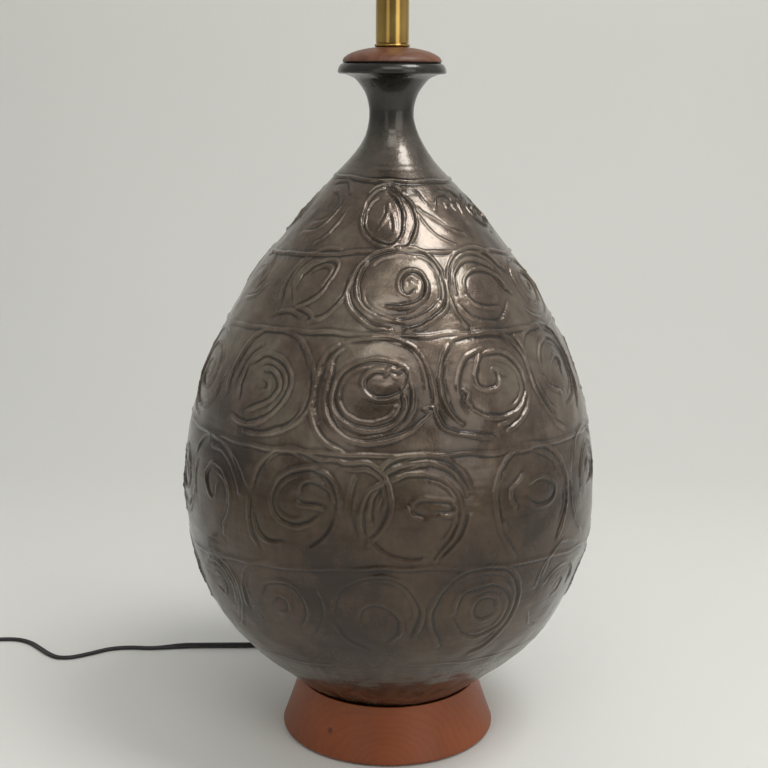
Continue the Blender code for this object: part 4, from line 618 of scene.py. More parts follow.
rubber = clouded_material("cut_sheet_rubber", 1.1, 4.0, "#101011", "#1d1d1e", (0.3, 0.0002), Roughness=0.8,
                          IOR=1.52)
dress("foot_gasket", rubber)
rim_gasket_profile = [(0.0250, 0.5445), (0.0376, 0.5445), (0.0379, 0.5442), (0.0376, 0.5439),
                      (0.0250, 0.5439)]
piece("rim_gasket_ring", [turned(rim_gasket_profile, 128)], rubber, "lamp", "rubber", "rim_gasket")


# Ceramic body. A stoneware vessel thrown on the wheel, with lines and rows of coiled roundels drawn
# in thick slip, under a dark manganese glaze that fires to a pewter sheen. It is one clay body, drawn
# here as seven courses that meet edge to edge in the wall, each closed in itself.

BODY_PROFILE = (
    (62.0, 40.6), (68.0, 42.0), (71.4, 45.0), (78.6, 50.4), (86.8, 57.5), (95.2, 64.4), (103.2, 71.5),
    (111.4, 78.6), (118.9, 86.4), (125.8, 94.0), (131.9, 101.9), (137.4, 109.9), (142.6, 118.3),
    (147.2, 127.7), (151.3, 136.9), (154.7, 146.1), (157.7, 155.4), (162.0, 173.5), (164.5, 192.7),
    (165.3, 211.4), (164.5, 230.5), (162.4, 249.2), (159.0, 268.1), (154.4, 287.4), (148.4, 306.2),
    (140.5, 325.1), (130.9, 344.0), (119.6, 363.3), (107.6, 382.2), (94.1, 401.1), (78.8, 420.0),
    (62.4, 438.8), (45.2, 457.5), (35.8, 466.8), (28.2, 476.1), (22.4, 485.3), (18.8, 494.5),
    (17.1, 503.6), (17.8, 512.7), (20.8, 521.8), (27.3, 530.8), (31.9, 533.8), (36.6, 535.4),
    (40.4, 535.8), (41.6, 536.5), (41.8, 537.6), (41.3, 539.8), (40.0, 542.2), (38.9, 543.2),
    (37.8, 543.6),
)
# Heights at which the courses meet, and each course's points round the body and mm up the wall
COURSE_SEAMS = (40.6, 107.0, 188.0, 272.0, 352.0, 406.0, 457.0, 543.6)
COURSE_COLUMNS = (480, 960, 960, 960, 960, 480, 480)
GRID_STEP = (1.0, 0.98, 0.98, 0.98, 0.98, 0.98, 1.0)
WALL = 6.0
FOOT_THICKNESS = 8.0
FOOT_HOLE = 5.3
MOUTH_RADIUS = 12.5
COLUMNS = 960
EASING_PASSES = 500
# How far a slip line shapes the wall beside it, and the step between a stroke's points, in mm
REACH = 12.0
STROKE_STEP = 0.7
# Strokes that bend round less than this get no echo; an echo lies this far inside its stroke
ECHO_LIMIT = 16
ECHO_GAP = 5.5

# Raised lines round the body, as (height of the line, its (degrees round from the front towards +X,
# height on the body) points)
RAISED_LINES = (
    (1.15, ((-66, 458.4), (0, 457.2), (68, 455.3), (120, 457.0), (180, 459.0), (235, 456.0))),
    (0.95, ((-91, 401.4), (-45, 404.0), (0, 410.3), (45, 407.0), (90, 399.9), (140, 404.0),
           (200, 407.0), (235, 402.0))),
    (0.90, ((-90, 346.6), (-32, 354.4), (0, 354.3), (32, 353.2), (73, 348.8), (120, 353.0),
           (180, 350.0), (225, 356.0))),
    (0.80, ((-85, 271.7), (-40, 272.5), (0, 275.1), (40, 272.0), (85, 266.9), (135, 272.0),
           (190, 275.0), (235, 269.0))),
    (0.60, ((-69, 175.2), (-35, 186.0), (0, 195.8), (35, 188.0), (78, 178.5), (130, 184.0),
           (190, 190.0), (240, 181.0))),
    (0.40, ((-90, 104.0), (-32, 101.9), (0, 108.7), (40, 105.0), (90, 107.0), (180, 103.0), (230, 106.0))),
)

# Slip strokes of the roundels seen from the front, row by row from the top, as (height of the
# stroke, its points). A point is the distance round from the front, at the row's radius, and the
# distance up the wall from the row's height.
FIRST_ROW = (
    (1.0, ((-70, 28), (-50, 30), (-40, 20))),
    (1.0, ((-35, 5), (-38, -8), (-42, -20), (-48, -28))),
    (0.8, ((-42, 10), (-48, -10), (-55, -18), (-65, -20))),
    (0.8, ((-62, 20), (-52, 18), (-46, 8), (-50, -6), (-60, -12))),
    (1.4, ((-8, 25), (-15, 21), (-20, 13), (-21, 2), (-20, -9), (-15, -19), (-8, -25), (0, -27), (5, -22))),
    (1.4, ((5, -22), (8, -12), (9, -2), (8, 7), (5, 15), (-1, 21))),
    (1.4, ((3, 26), (10, 19), (16, 10), (18, 0), (17, -11), (14, -20), (10, -27))),
    (1.0, ((-21, 20), (-14, 26), (-4, 29), (5, 26), (13, 19))),
    (0.9, ((-1, 4), (2, -4), (2, -14))),
    (0.9, ((-8, -12), (-3, 0), (-2, 10))),
    (1.0, ((25, 20), (30, 10))),
    (1.1, ((22, 5), (30, -3), (38, -12), (50, -20))),
    (0.9, ((20, 0), (27, -15), (32, -22), (40, -28))),
    (1.1, ((36, 4), (40, 12), (45, 18), (55, 18), (60, 12))),
    (0.9, ((48, 5), (50, 10), (55, 9), (57, 2))),
    (0.8, ((62, -5), (64, 6), (70, 12))),
    (0.8, ((56, 24), (68, 20), (74, 8))),
)
SECOND_ROW = (
    (0.9, ((-147, 18), (-135, 22), (-122, 14), (-118, 0), (-126, -10))),
    (0.8, ((-110, -5), (-118, -15), (-135, -20))),
    (0.8, ((-140, 8), (-133, 10), (-126, 4), (-128, -3))),
    (1.0, ((-75, 0), (-74, 10), (-65, 19), (-55, 23), (-47, 22), (-44, 17), (-48, 5), (-52, -5), (-60, -13),
           (-68, -18))),
    (0.8, ((-79, 2), (-75, -5), (-70, -15))),
    (1.0, ((-84, -18), (-87, 0), (-84, 15), (-75, 25), (-60, 32), (-46, 32))),
    (1.0, ((-31, 10), (-33, -5), (-38, -15), (-45, -23), (-55, -28))),
    (1.2, ((-84, -25), (-80, -23), (-70, -21), (-62, -24))),
    (1.2, ((-66, -18), (-57, -20), (-52, -25))),
    (1.3, ((0, -31), (-12, -28), (-21, -21), (-28, -12), (-31, -2), (-29, 9), (-26, 19), (-17, 28),
           (-6, 33), (6, 35))),
    (1.3, ((6, 35), (18, 35), (30, 31), (38, 22), (41, 10), (41, -4), (38, -14), (30, -22), (20, -28),
           (10, -31))),
    (1.2, ((-20, 24), (-24, 14), (-25, 4), (-23, -6), (-18, -14), (-9, -20), (3, -24), (15, -23), (26, -17),
           (34, -9))),
    (0.9, ((-14, 22), (-5, 27), (8, 29), (20, 27))),
    (1.6, ((17, -1), (13, -4), (8, -2), (6, 4), (8, 11), (13, 16), (20, 16), (25, 12), (27, 4), (25, -4),
           (19, -10), (9, -13), (-2, -13))),
    (1.0, ((11, 4), (12, 9), (16, 11), (20, 8))),
    (1.3, ((50, -30), (45, -20), (43, -8), (44, 6), (48, 17), (56, 26), (67, 31), (80, 32), (93, 28),
           (102, 21), (107, 11))),
    (1.1, ((49, -4), (50, 8), (56, 17), (66, 22), (77, 22), (86, 18), (93, 13))),
    (1.2, ((57, -2), (59, 6), (66, 12), (76, 14), (86, 12), (94, 6), (97, -3), (101, -8))),
    (1.2, ((57, -6), (61, -13), (70, -17), (81, -18))),
    (1.2, ((49, -14), (54, -22), (63, -27), (75, -29), (84, -24), (92, -16))),
)
THIRD_ROW = (
    (1.0, ((-134, -14), (-138, -4), (-137, 8), (-133, 20), (-126, 30), (-116, 37), (-104, 39))),
    (0.8, ((-104, 39), (-88, 38), (-74, 33), (-64, 22), (-58, 12), (-55, 0))),
    (1.3, ((-55, 0), (-57, -14), (-64, -25), (-76, -33), (-92, -38), (-108, -38))),
    (1.2, ((-118, 12), (-112, 16), (-104, 20), (-92, 19), (-82, 14), (-76, 6), (-75, -3), (-79, -14),
           (-87, -24), (-98, -31), (-110, -33), (-122, -30))),
    (1.0, ((-122, 8), (-123, -4), (-120, -16))),
    (1.2, ((-100, 9), (-94, 9), (-88, 5), (-84, -2), (-87, -10), (-93, -16), (-101, -20), (-108, -24))),
    (0.9, ((-99, 2), (-94, -1), (-94, -6), (-98, -8))),
    (0.8, ((-130, -6), (-128, 8), (-122, 20), (-112, 27))),
    (1.2, ((-42, 32), (-50, 24), (-54, 10), (-55, -4), (-54, -18), (-49, -30), (-40, -39), (-30, -43))),
    (0.9, ((-38, 30), (-45, 20), (-48, 8))),
    (0.9, ((-34, 36), (-20, 38), (-4, 39), (10, 36), (20, 30), (27, 18), (30, 5), (31, -8))),
    (0.6, ((12, 34), (22, 22), (26, 8))),
    (1.1, ((14, 10), (16, 0), (15, -12), (10, -22), (3, -28))),
    (1.1, ((-44, 18), (-45, 5), (-45, -12), (-38, -26), (-25, -35), (-10, -36), (10, -30), (22, -20),
           (30, -12))),
    (1.5, ((24, -14), (28, -12), (31, -13))),
    (1.1, ((8, 2), (10, -3), (10, -12), (4, -22), (-8, -27), (-20, -27), (-32, -22), (-40, -12), (-41, 0),
           (-36, 12), (-25, 20), (-12, 23), (0, 22), (10, 18), (14, 14))),
    (1.3, ((-2, 14), (-12, 15), (-19, 9), (-19, 2), (-14, -4), (-5, -6), (5, -3), (12, 4), (14, 12),
           (10, 17))),
    (1.6, ((-3, 12), (0, 16), (5, 15), (10, 18), (13, 15))),
    (1.0, ((1, 13), (5, 10), (9, 12))),
    (1.2, ((48, 33), (41, 24), (37, 12), (37, 0), (39, -10), (44, -19), (50, -25))),
    (1.1, ((50, 36), (64, 39), (80, 40), (95, 38), (106, 32), (114, 22), (117, 10))),
    (1.0, ((114, 34), (118, 26), (117, 16))),
    (0.9, ((78, -28), (90, -25), (98, -18), (105, -10))),
    (0.9, ((84, -33), (97, -26), (106, -16), (110, -4))),
    (1.4, ((30, -12), (35, -25), (42, -30), (55, -33), (70, -36))),
    (0.9, ((50, -5), (50, 5), (57, 20), (65, 25), (76, 28))),
    (1.1, ((75, 24), (85, 25), (95, 23), (103, 17), (108, 8), (108, -5), (102, -14), (92, -21), (80, -23),
           (68, -21), (57, -14))),
    (1.5, ((57, -13), (54, -9), (56, -4), (53, -1))),
    (1.2, ((72, 24), (65, 10), (65, 2), (72, -2), (80, -2), (84, 3), (85, 10))),
    (1.4, ((80, 8), (80, 12), (84, 11), (89, 8))),
    (1.1, ((116, 14), (117, 0), (119, -14), (125, -26), (133, -36), (142, -42))),
    (1.0, ((121, -4), (125, -14), (130, -22), (136, -28))),
    (1.0, ((121, 30), (130, 36), (146, 38), (162, 37), (176, 30), (184, 18), (188, 2), (184, -15),
           (174, -32))),
    (1.0, ((132, 8), (137, 18), (146, 25), (158, 27), (170, 22), (178, 12), (180, 0), (177, -12),
           (168, -22), (154, -27))),
    (1.1, ((131, -1), (135, -8), (141, -12), (148, -15))),
    (0.8, ((150, 8), (158, 12), (165, 6), (162, -2))),
)
FOURTH_ROW = (
    (1.0, ((-186, 18), (-180, 28), (-168, 34), (-155, 35), (-142, 32), (-130, 26), (-120, 17), (-113, 8))),
    (0.8, ((-160, 27), (-146, 27), (-134, 20), (-125, 10), (-120, 0))),
    (1.1, ((-160, 14), (-152, 16), (-142, 13), (-134, 6), (-130, -4), (-131, -16), (-136, -26), (-137, -34))),
    (1.0, ((-156, 15), (-162, 10), (-164, 4), (-160, -4), (-154, -10), (-148, -8), (-147, 0))),
    (0.7, ((-182, 12), (-184, 0), (-182, -14))),
    (1.1, ((-108, 8), (-105, 20), (-98, 30), (-88, 37), (-76, 40), (-64, 38), (-52, 34))),
    (0.9, ((-110, 0), (-109, -14), (-106, -26), (-100, -36))),
    (1.0, ((-105, -8), (-103, -18), (-98, -26), (-90, -30), (-80, -29))),
    (0.9, ((-50, 27), (-62, 28), (-74, 24), (-84, 17), (-89, 7), (-89, -3), (-84, -11), (-75, -15),
           (-65, -15), (-56, -11), (-50, -6))),
    (1.3, ((-67, 10), (-65, 16), (-58, 19), (-50, 18), (-43, 13))),
    (1.4, ((-68, 3), (-64, 1), (-56, 1), (-48, 0))),
    (1.3, ((-53, 27), (-45, 24), (-39, 17), (-36, 8), (-36, -2))),
    (1.0, ((-48, 22), (-42, 14), (-39, 5))),
    (0.8, ((-38, -6), (-42, -16), (-48, -24), (-56, -30))),
    (1.2, ((-49, 34), (-40, 35), (-30, 33), (-18, 34), (-10, 31), (-3, 24), (0, 14), (1, 4), (-2, -8),
           (-8, -17), (-14, -23))),
    (1.1, ((-2, 22), (-8, 18), (-15, 12), (-19, 3), (-20, -8), (-18, -18))),
    (0.9, ((-6, 18), (-12, 10), (-14, 0), (-13, -9))),
    (0.8, ((-4, 12), (-8, 4), (-8, -6))),
    (0.6, ((-24, 24), (-28, 10), (-28, -6), (-24, -18))),
    (1.2, ((-5, 31), (2, 36), (12, 39), (26, 40), (38, 38), (48, 32), (56, 22), (60, 12))),
    (1.2, ((-3, 27), (6, 31), (18, 34), (32, 34), (44, 28), (52, 20), (57, 10))),
    (0.9, ((2, 22), (12, 26), (26, 26), (38, 22), (47, 14), (52, 4), (51, -8), (46, -20), (38, -30),
           (33, -37))),
    (0.9, ((58, -6), (54, -18), (46, -28), (38, -36))),
    (0.9, ((-13, -20), (-8, -27), (0, -32), (12, -36), (24, -36))),
    (0.7, ((16, 2), (18, 7), (24, 9), (34, 8), (44, 6), (48, 1))),
    (1.3, ((13, 3), (16, -3), (22, -5))),
    (1.3, ((36, -3), (43, -4), (48, 0), (46, 4))),
    (1.0, ((97, -42), (90, -32), (83, -18), (80, -4), (80, 10), (84, 22), (92, 32), (102, 38))),
    (1.0, ((104, 39), (118, 38), (132, 35), (143, 28), (151, 17), (155, 3), (154, -12), (148, -26),
           (141, -37))),
    (0.8, ((100, 35), (114, 35), (130, 30), (142, 20), (149, 8))),
    (1.3, ((94, 10), (98, 13), (104, 18))),
    (1.1, ((94, 8), (94, 2), (97, -3))),
    (1.1, ((86, -14), (89, -20))),
    (0.9, ((112, 11), (122, 13), (132, 10), (139, 4), (139, -2), (134, -6), (124, -8), (114, -6), (107, 0))),
    (1.0, ((162, 2), (163, -10), (165, -22), (171, -32), (182, -42))),
    (1.0, ((164, 12), (170, 26), (182, 34), (198, 37), (212, 34), (222, 26))),
    (1.1, ((180, -10), (180, 4), (184, 14), (192, 22), (204, 25), (216, 18), (222, 4), (218, -10))),
    (1.0, ((193, 2), (197, 10), (206, 9), (212, 2), (208, -6), (198, -8))),
)
FIFTH_ROW = (
    (0.8, ((-160, 18), (-145, 18), (-135, 10), (-131, 0), (-133, -12))),
    (0.8, ((-170, 20), (-150, 25), (-135, 20), (-125, 8), (-125, -10), (-132, -25), (-142, -38))),
    (0.8, ((-156, 6), (-148, 8), (-142, 0), (-146, -8), (-154, -6))),
    (0.9, ((-100, 5), (-95, 15), (-82, 20), (-70, 18), (-62, 8), (-60, -5), (-66, -16))),
    (0.8, ((-118, -10), (-118, 10), (-110, 25), (-95, 33), (-80, 34))),
    (0.8, ((-90, 2), (-84, 8), (-76, 4), (-76, -5), (-84, -8))),
    (0.7, ((-50, 18), (-46, 2), (-50, -14), (-60, -28))),
    (0.9, ((-42, 0), (-35, 20), (-20, 30), (-5, 33), (10, 28), (20, 15), (25, 0), (20, -18))),
    (0.9, ((-22, -5), (-20, 5), (-12, 10), (-2, 8), (8, -2), (9, -15), (2, -25))),
    (0.7, ((-40, -10), (-32, -24), (-18, -33))),
    (0.9, ((84, 0), (81, 8), (73, 11), (65, 8), (62, 0), (65, -8), (73, -11), (81, -8))),
    (0.9, ((48, 0), (52, 15), (65, 20), (80, 20), (93, 10), (97, -3), (92, -18), (82, -25), (68, -27),
           (55, -20), (48, -8))),
    (0.9, ((40, -30), (33, -15), (30, 0), (33, 10), (38, 20), (50, 32), (70, 35), (90, 30), (102, 12),
           (103, -5), (97, -22), (85, -37), (70, -45))),
    (0.8, ((120, 8), (125, 25), (140, 38), (150, 38), (166, 32))),
    (0.8, ((132, 8), (138, 14), (150, 18), (162, 16), (172, 8), (174, -6))),
    (0.8, ((120, -15), (128, -30), (140, -35))),
    (0.8, ((144, 2), (150, 8), (158, 4), (156, -5), (148, -8))),
)
# Each row's radius, its height, and the (degrees, size) of its roundels that no stroke is given for
ROUNDEL_ROWS = (
    (66.4, 434.0, ((75, 17.2), (122, 25.2), (169, 25.3), (216, 25.2), (263, 23.2)), FIRST_ROW),
    (106.8, 384.0, ((72, 26.7), (108, 26.7), (145, 26.7), (181, 26.7), (217, 26.7), (254, 26.7)), SECOND_ROW),
    (143.7, 318.0, ((-72, 33), (94.3, 36.1), (126.6, 36.1), (158.9, 36.1), (191.1, 36.1),
                    (223.4, 36.1), (255.7, 36.1)), THIRD_ROW),
    (164.1, 236.0, ((-75, 28.4), (99, 35.8), (130, 35.8), (161, 35.8), (192, 35.8), (223, 35.8),
                    (254, 35.8)), FOURTH_ROW),
    (158.4, 156.0, ((81.6, 33.7), (109.6, 33.7), (137.7, 33.7), (165.7, 33.7), (193.8, 34.1),
                    (221.8, 34.1), (249.9, 34.1), (278, 33.7)), FIFTH_ROW),
)

# Mean heights of the raised lines, which bound the rows from the top down
ROW_LIMITS = (457.1, 405.3, 351.0, 272.0, 188.0, 108.5)
rng = np.random.default_rng(41)


def roundel(size, turn):
    """Strokes of a coiled roundel drawn freehand: a coil whose radius falls evenly with its angle,
    its start and its way set by its place round the body, a curl that carries it on inwards, an
    open ring round it and a part ring inside it, all wavering by slow sines."""
    way = 1 if math.sin(7.0 * turn) > 0 else -1
    start, lag = 5.0 * turn, 1.45 * math.tau * way
    strokes = []
    for height, begin, turns, outer, inner in (
        (1.5, start, 1.45, 1.0, 0.34),
        (0.9, start + lag, rng.uniform(0.7, 1.1), 0.34, 0.10),
        (0.8, start + rng.uniform(0, 6), rng.uniform(0.45, 0.75), 1.12, 1.06),
        (0.7, start + rng.uniform(0, 6), rng.uniform(0.4, 0.7), 0.80, 0.70),
    ):
        t = np.linspace(0.0, 1.0, 26)
        angle = begin + way * turns * math.tau * t
        uneven = 1 + 0.03 * np.sin(angle * 2 + rng.uniform(0, 6))
        uneven += 0.02 * np.sin(angle * 3 + rng.uniform(0, 6))
        radius = size * (outer + (inner - outer) * t) * uneven
        strokes.append((height, np.stack([radius * np.cos(angle), radius * np.sin(angle)], 1)))
    return strokes


# The wall's line, eased except at its foot and rim, and the rows of the courses' grids along it
wall_line = spaced(smooth_line(BODY_PROFILE, 16), 0.25)
for _ in range(EASING_PASSES):
    eased = wall_line.copy()
    eased[1:-1] = (wall_line[:-2] + 2 * wall_line[1:-1] + wall_line[2:]) / 4
    keep = np.interp(wall_line[:, 1], [44.0, 60.0, 480.0, 520.0], [0.0, 1.0, 1.0, 0.0])[:, None]
    wall_line = wall_line + keep * (eased - wall_line)
wall_along = distance_along(wall_line)
seam_along = np.interp(COURSE_SEAMS, wall_line[:, 1], wall_along)
seam_along[-1] = wall_along[-1]
row_along, seam_rows = [], [0]
for start, end, step in zip(seam_along, seam_along[1:], GRID_STEP):
    rows = round((end - start) / step)
    row_along.append(np.linspace(start, end, rows, endpoint=False))
    seam_rows.append(seam_rows[-1] + rows)
row_along = np.concatenate(row_along + [seam_along[-1:]])
row_radius = np.interp(row_along, wall_along, wall_line[:, 0])
row_height = np.interp(row_along, wall_along, wall_line[:, 1])
azimuth = np.linspace(-math.pi, math.pi, COLUMNS, endpoint=False)


def waver(length, spacing, low, high):
    """A smooth random run of values along a length, one draw for each spacing."""
    knots = np.arange(0.0, length + 2 * spacing, spacing)
    return lambda s: np.interp(s, knots, rng.uniform(low, high, len(knots)))


def blurred(field, rows, cols):
    """The field's mean over a window that reaches so many rows and columns each way, its columns
    closing on themselves."""
    for axis, half, mode in ((0, rows, "edge"), (1, cols, "wrap")):
        pad = [(half, half) if k == axis else (0, 0) for k in (0, 1)]
        total = np.insert(np.cumsum(np.pad(field, pad, mode), axis=axis), 0, 0.0, axis=axis)
        after = np.take(total, np.arange(2 * half + 1, total.shape[axis]), axis)
        field = (after - np.take(total, np.arange(total.shape[axis] - 2 * half - 1), axis)) / (2 * half + 1)
    return field


def slip_section(distance, inner, width):
    """Heights across a slip line by distance: its crest, narrower on the inner side, with a slope
    of pressed slip outside; the line scored beside it; and the hollow that it encloses."""
    fade = np.clip(1 - distance / REACH, 0.0, 1.0) ** 2
    crest = np.exp(-((distance / (width * (1.35 - 0.45 * inner))) ** 2))
    crest += fade * (0.50 * (1 - inner) + 0.05 * inner) * np.exp(-distance / (4.2 * width))
    scored = 0.50 * inner * np.exp(-(((distance - 2.0 * width) / 0.8) ** 2))
    scored += 0.14 * (1 - inner) * np.exp(-(((distance - 2.8 * width) / 0.9) ** 2))
    hollow = fade * 0.72 * inner * (1 - np.exp(-distance / 1.6))
    return crest, scored, hollow


ridges = np.zeros((len(row_along), COLUMNS))
grooves = np.zeros_like(ridges)
hollows = np.zeros_like(ridges)
beads = []


def lay_stroke(height, points, radius, level_along):
    """Lays one stroke on the grid: each grid point takes the slip line's section at its distance on
    the wall from the nearest point of the stroke, and crests join by the cube root of their summed
    cubes. The inner side is the one that the stroke bends round."""
    drawn = smooth_line(points, 8)
    line = spaced(drawn, STROKE_STEP)
    steps = np.arange(len(line)) * STROKE_STEP
    line = line + np.stack([waver(steps[-1], 4.0, -0.30, 0.30)(steps) for _ in (0, 1)], 1)
    strength = height * waver(steps[-1], 4.0, 0.80, 1.15)(steps) * waver(steps[-1], 17.0, 0.45, 1.20)(steps)
    strength *= np.minimum(1.0, 0.3 + np.minimum(steps, steps[::-1]) / 9.0)
    width = waver(steps[-1], 7.0, 0.65, 1.10)(steps)
    ahead = np.gradient(drawn, axis=0)
    drawn_steps = np.linspace(0, steps[-1], len(ahead))
    ahead = np.stack([np.interp(steps, drawn_steps, ahead[:, k]) for k in (0, 1)], 1)
    ahead /= np.linalg.norm(ahead, axis=1)[:, None]
    to_middle = line.mean(axis=0) - line
    bend = np.sign(np.sum(ahead[:, 0] * to_middle[:, 1] - ahead[:, 1] * to_middle[:, 0])) or 1.0
    # Beads of slip where the hand starts, stops and here and there on its way
    for at in np.concatenate([[0, -1], rng.integers(0, len(line), rng.poisson(steps[-1] / 45))]):
        thick, wide = height * rng.uniform(0.1, 0.55), rng.uniform(0.8, 1.5)
        beads.append((line[at, 0] / radius, level_along + line[at, 1], thick, wide))
    around = line[:, 0] / radius
    up = level_along + line[:, 1]
    rows = np.where((row_along > up.min() - REACH) & (row_along < up.max() + REACH))[0]
    middle = (around.min() + around.max()) / 2
    half = (around.max() - around.min()) / 2 + REACH / max(row_radius[rows].min(), 20.0)
    offset = (azimuth - middle + math.pi) % math.tau - math.pi
    cols = np.where(np.abs(offset) < half)[0]
    dx = row_radius[rows][:, None, None] * (offset[cols][None, :, None] + middle - around)
    dy = row_along[rows][:, None, None] - up
    square = dx**2 + dy**2
    nearest = square.argmin(axis=2)
    dx, dy = (np.take_along_axis(np.broadcast_to(d, square.shape), nearest[..., None], 2)[..., 0]
              for d in (dx, dy))
    distance = np.hypot(dx, dy)
    side = bend * (ahead[nearest, 0] * dy - ahead[nearest, 1] * dx) / np.maximum(distance, 0.6)
    inner = 0.5 + 0.5 * np.clip(1.5 * side, -1.0, 1.0)
    crest, scored, hollow = slip_section(distance, inner, width[nearest])
    window = np.ix_(rows, cols)
    ridges[window] = np.cbrt(ridges[window] ** 3 + (strength[nearest] * crest) ** 3)
    grooves[window] = np.maximum(grooves[window], strength[nearest] * scored)
    hollows[window] = np.maximum(hollows[window], height * hollow)


def echo(points):
    """The line of a fainter stroke beside a long curved one, on the side that it bends round: part
    of the stroke, drawn again after the hand has moved in. None where the stroke is too short or
    bends too closely."""
    line = spaced(smooth_line(points, 8), 4.0)
    middle = line.mean(axis=0)
    bend_radius = np.linalg.norm(line - middle, axis=1).mean()
    if len(line) * 4.0 < 3.4 * bend_radius or bend_radius < ECHO_LIMIT:
        return None
    first = round(len(line) * rng.uniform(0.0, 0.3))
    part = line[first:first + round(len(line) * 0.7)]
    return middle + (part - middle) * (1 - ECHO_GAP / bend_radius)


def slow_part(values, waves):
    """The part of a run of values round the body that makes fewer than so many waves."""
    return np.fft.irfft(np.fft.rfft(values) * (np.arange(COLUMNS // 2 + 1) < waves), COLUMNS)


for row, (radius, level, formula, strokes) in enumerate(ROUNDEL_ROWS):
    level_along = float(np.interp(level, wall_line[:, 1], wall_along))
    row_middle = float(np.interp(ROW_LIMITS[row:row + 2], wall_line[:, 1], wall_along).mean())
    for height, points in strokes:
        lay_stroke(height, points, radius, level_along)
        inner_line = echo(points)
        if inner_line is not None:
            lay_stroke(0.55 * height, inner_line, radius, level_along)
    for degrees, size in formula:
        turn = math.radians(degrees)
        for height, points in roundel(size, turn):
            lay_stroke(height, points + (turn * radius, 0.0), radius, row_middle)

# Each raised line keeps its smooth course, wavers by what is slow in a random run and varies in
# strength by another
for height, knots in RAISED_LINES:
    knots = np.array([(angle + turn, z) for turn in (-360, 0, 360) for angle, z in knots], dtype=float)
    level = slow_part(np.interp(np.degrees(azimuth), knots[:, 0], knots[:, 1]), 9)
    waves = round(np.interp(level.mean(), row_height, row_radius) / 4.5)
    wobble = slow_part(rng.normal(size=COLUMNS), waves)
    level = level + 0.40 * wobble / wobble.std()
    vary = slow_part(rng.normal(size=COLUMNS), waves)
    strength = height * np.clip(1 + 0.20 * vary / vary.std(), 0.4, 1.6)
    centre = np.interp(level, wall_line[:, 1], wall_along)
    offset = row_along[:, None] - centre
    inner = 0.5 - 0.5 * np.clip(1.5 * offset, -1.0, 1.0)
    crest, scored, _ = slip_section(np.abs(offset), inner, 0.85)
    ridges = np.cbrt(ridges**3 + (strength * crest) ** 3)
    grooves = np.maximum(grooves, strength * scored)
for around, up, height, width in beads:
    rows = np.where(np.abs(row_along - up) < 4 * width)[0]
    dx = row_radius[rows][:, None] * ((azimuth - around + math.pi) % math.tau - math.pi)
    ridges[rows] += height * np.exp(-(dx**2 + (row_along[rows][:, None] - up) ** 2) / width**2)

# Throwing: slow swellings round and up the wall, and faint finger rings
swell = np.zeros_like(ridges)
for _ in range(14):
    waves, pitch, phase = rng.integers(1, 7), rng.uniform(45, 160), rng.uniform(0, math.tau)
    swell += 0.13 * np.sin(waves * azimuth + row_along[:, None] / pitch * math.tau + phase)
for _ in range(26):
    waves, pitch, phase = rng.integers(6, 40), rng.uniform(14, 60), rng.uniform(0, math.tau)
    ripple = np.sin(waves * azimuth + rng.choice([-1, 1]) * row_along[:, None] / pitch * math.tau + phase)
    swell += 0.035 * ripple * np.clip((row_radius[:, None] - 30) / 90, 0.0, 1.0)
rings = 0.10 * np.sin(row_along / 7.3 * math.tau) + 0.06 * np.sin(row_along / 4.9 * math.tau + 1.0)
ring_share = np.interp(row_height, [60, 95, 112, 440, 470, 515, 525], [0.2, 0.3, 0.2, 0.2, 0.4, 0.4, 0.0])
# Glaze that has run down in broad drips towards the foot
drips = np.zeros(COLUMNS)
for _ in range(34):
    at, half, thick = rng.uniform(-math.pi, math.pi), rng.uniform(0.012, 0.035), rng.uniform(0.1, 0.35)
    drips += thick * np.exp(-(((azimuth - at + math.pi) % math.tau - math.pi) / half) ** 2)
drip_share = np.interp(row_height, [44, 52, 96, 108], [0.2, 1.0, 1.0, 0.0])
calm = np.interp(row_height, [41, 50, 495, 528], [0.0, 1.0, 1.0, 0.0])[:, None]
ridges = 0.4 * ridges + 0.6 * blurred(ridges, 1, 1)
grooves = 0.4 * grooves + 0.6 * blurred(grooves, 1, 1)
slip = 1.05 * ridges - 1.3 * grooves * np.clip(1 - 0.8 * ridges, 0.1, 1.0) - blurred(hollows, 1, 1)
relief = (slip + swell) * calm + (rings * ring_share)[:, None] * calm + drip_share[:, None] * drips
# How far each point stands above or below the wall close round it: crests above 0, scored lines below. The
# glaze reads it to paint shade into the scored lines and sheen onto the crests
slip_lines = (slip - blurred(slip, 3, 3)) * calm

# The relief stands out square to the wall. Where a course of fewer columns meets one of more, the
# seam's odd points lie halfway between the even ones, so that the two edges meet.
slope = np.gradient(np.stack([row_radius, row_height], 1), row_along, axis=0)
slope /= np.linalg.norm(slope, axis=1)[:, None]
out_r, out_z = slope[:, 1], -slope[:, 0]
wall_r = row_radius[:, None] + out_r[:, None] * relief
wall_z = row_height[:, None] + out_z[:, None] * relief
wall_points = np.stack([wall_r * np.sin(azimuth), -wall_r * np.cos(azimuth), wall_z], -1) / 1000
for row, (below, above) in zip(seam_rows[1:-1], zip(COURSE_COLUMNS, COURSE_COLUMNS[1:])):
    if below != above:
        wall_points[row, 1::2] = (wall_points[row, 0::2] + np.roll(wall_points[row, 0::2], -1, axis=0)) / 2
round_step = np.roll(wall_points, -1, axis=1) - np.roll(wall_points, 1, axis=1)
up_step = np.gradient(wall_points, axis=0)
wall_normals = np.cross(round_step, up_step)
wall_normals /= np.linalg.norm(wall_normals, axis=2)[..., None]


def mixed(tree, share, first, second):
    """The first colour turned into the second by a share of 0 to 1."""
    return add(tree, "Mix", {"Factor": share, 6: first, 7: second}, data_type="RGBA").outputs[2]


def between(tree, height, start, end, low=0.0, high=1.0):
    """A smooth share that goes from low to high between two heights in metres."""
    return mapped(tree, height, start, end, low, high, "SMOOTHSTEP")
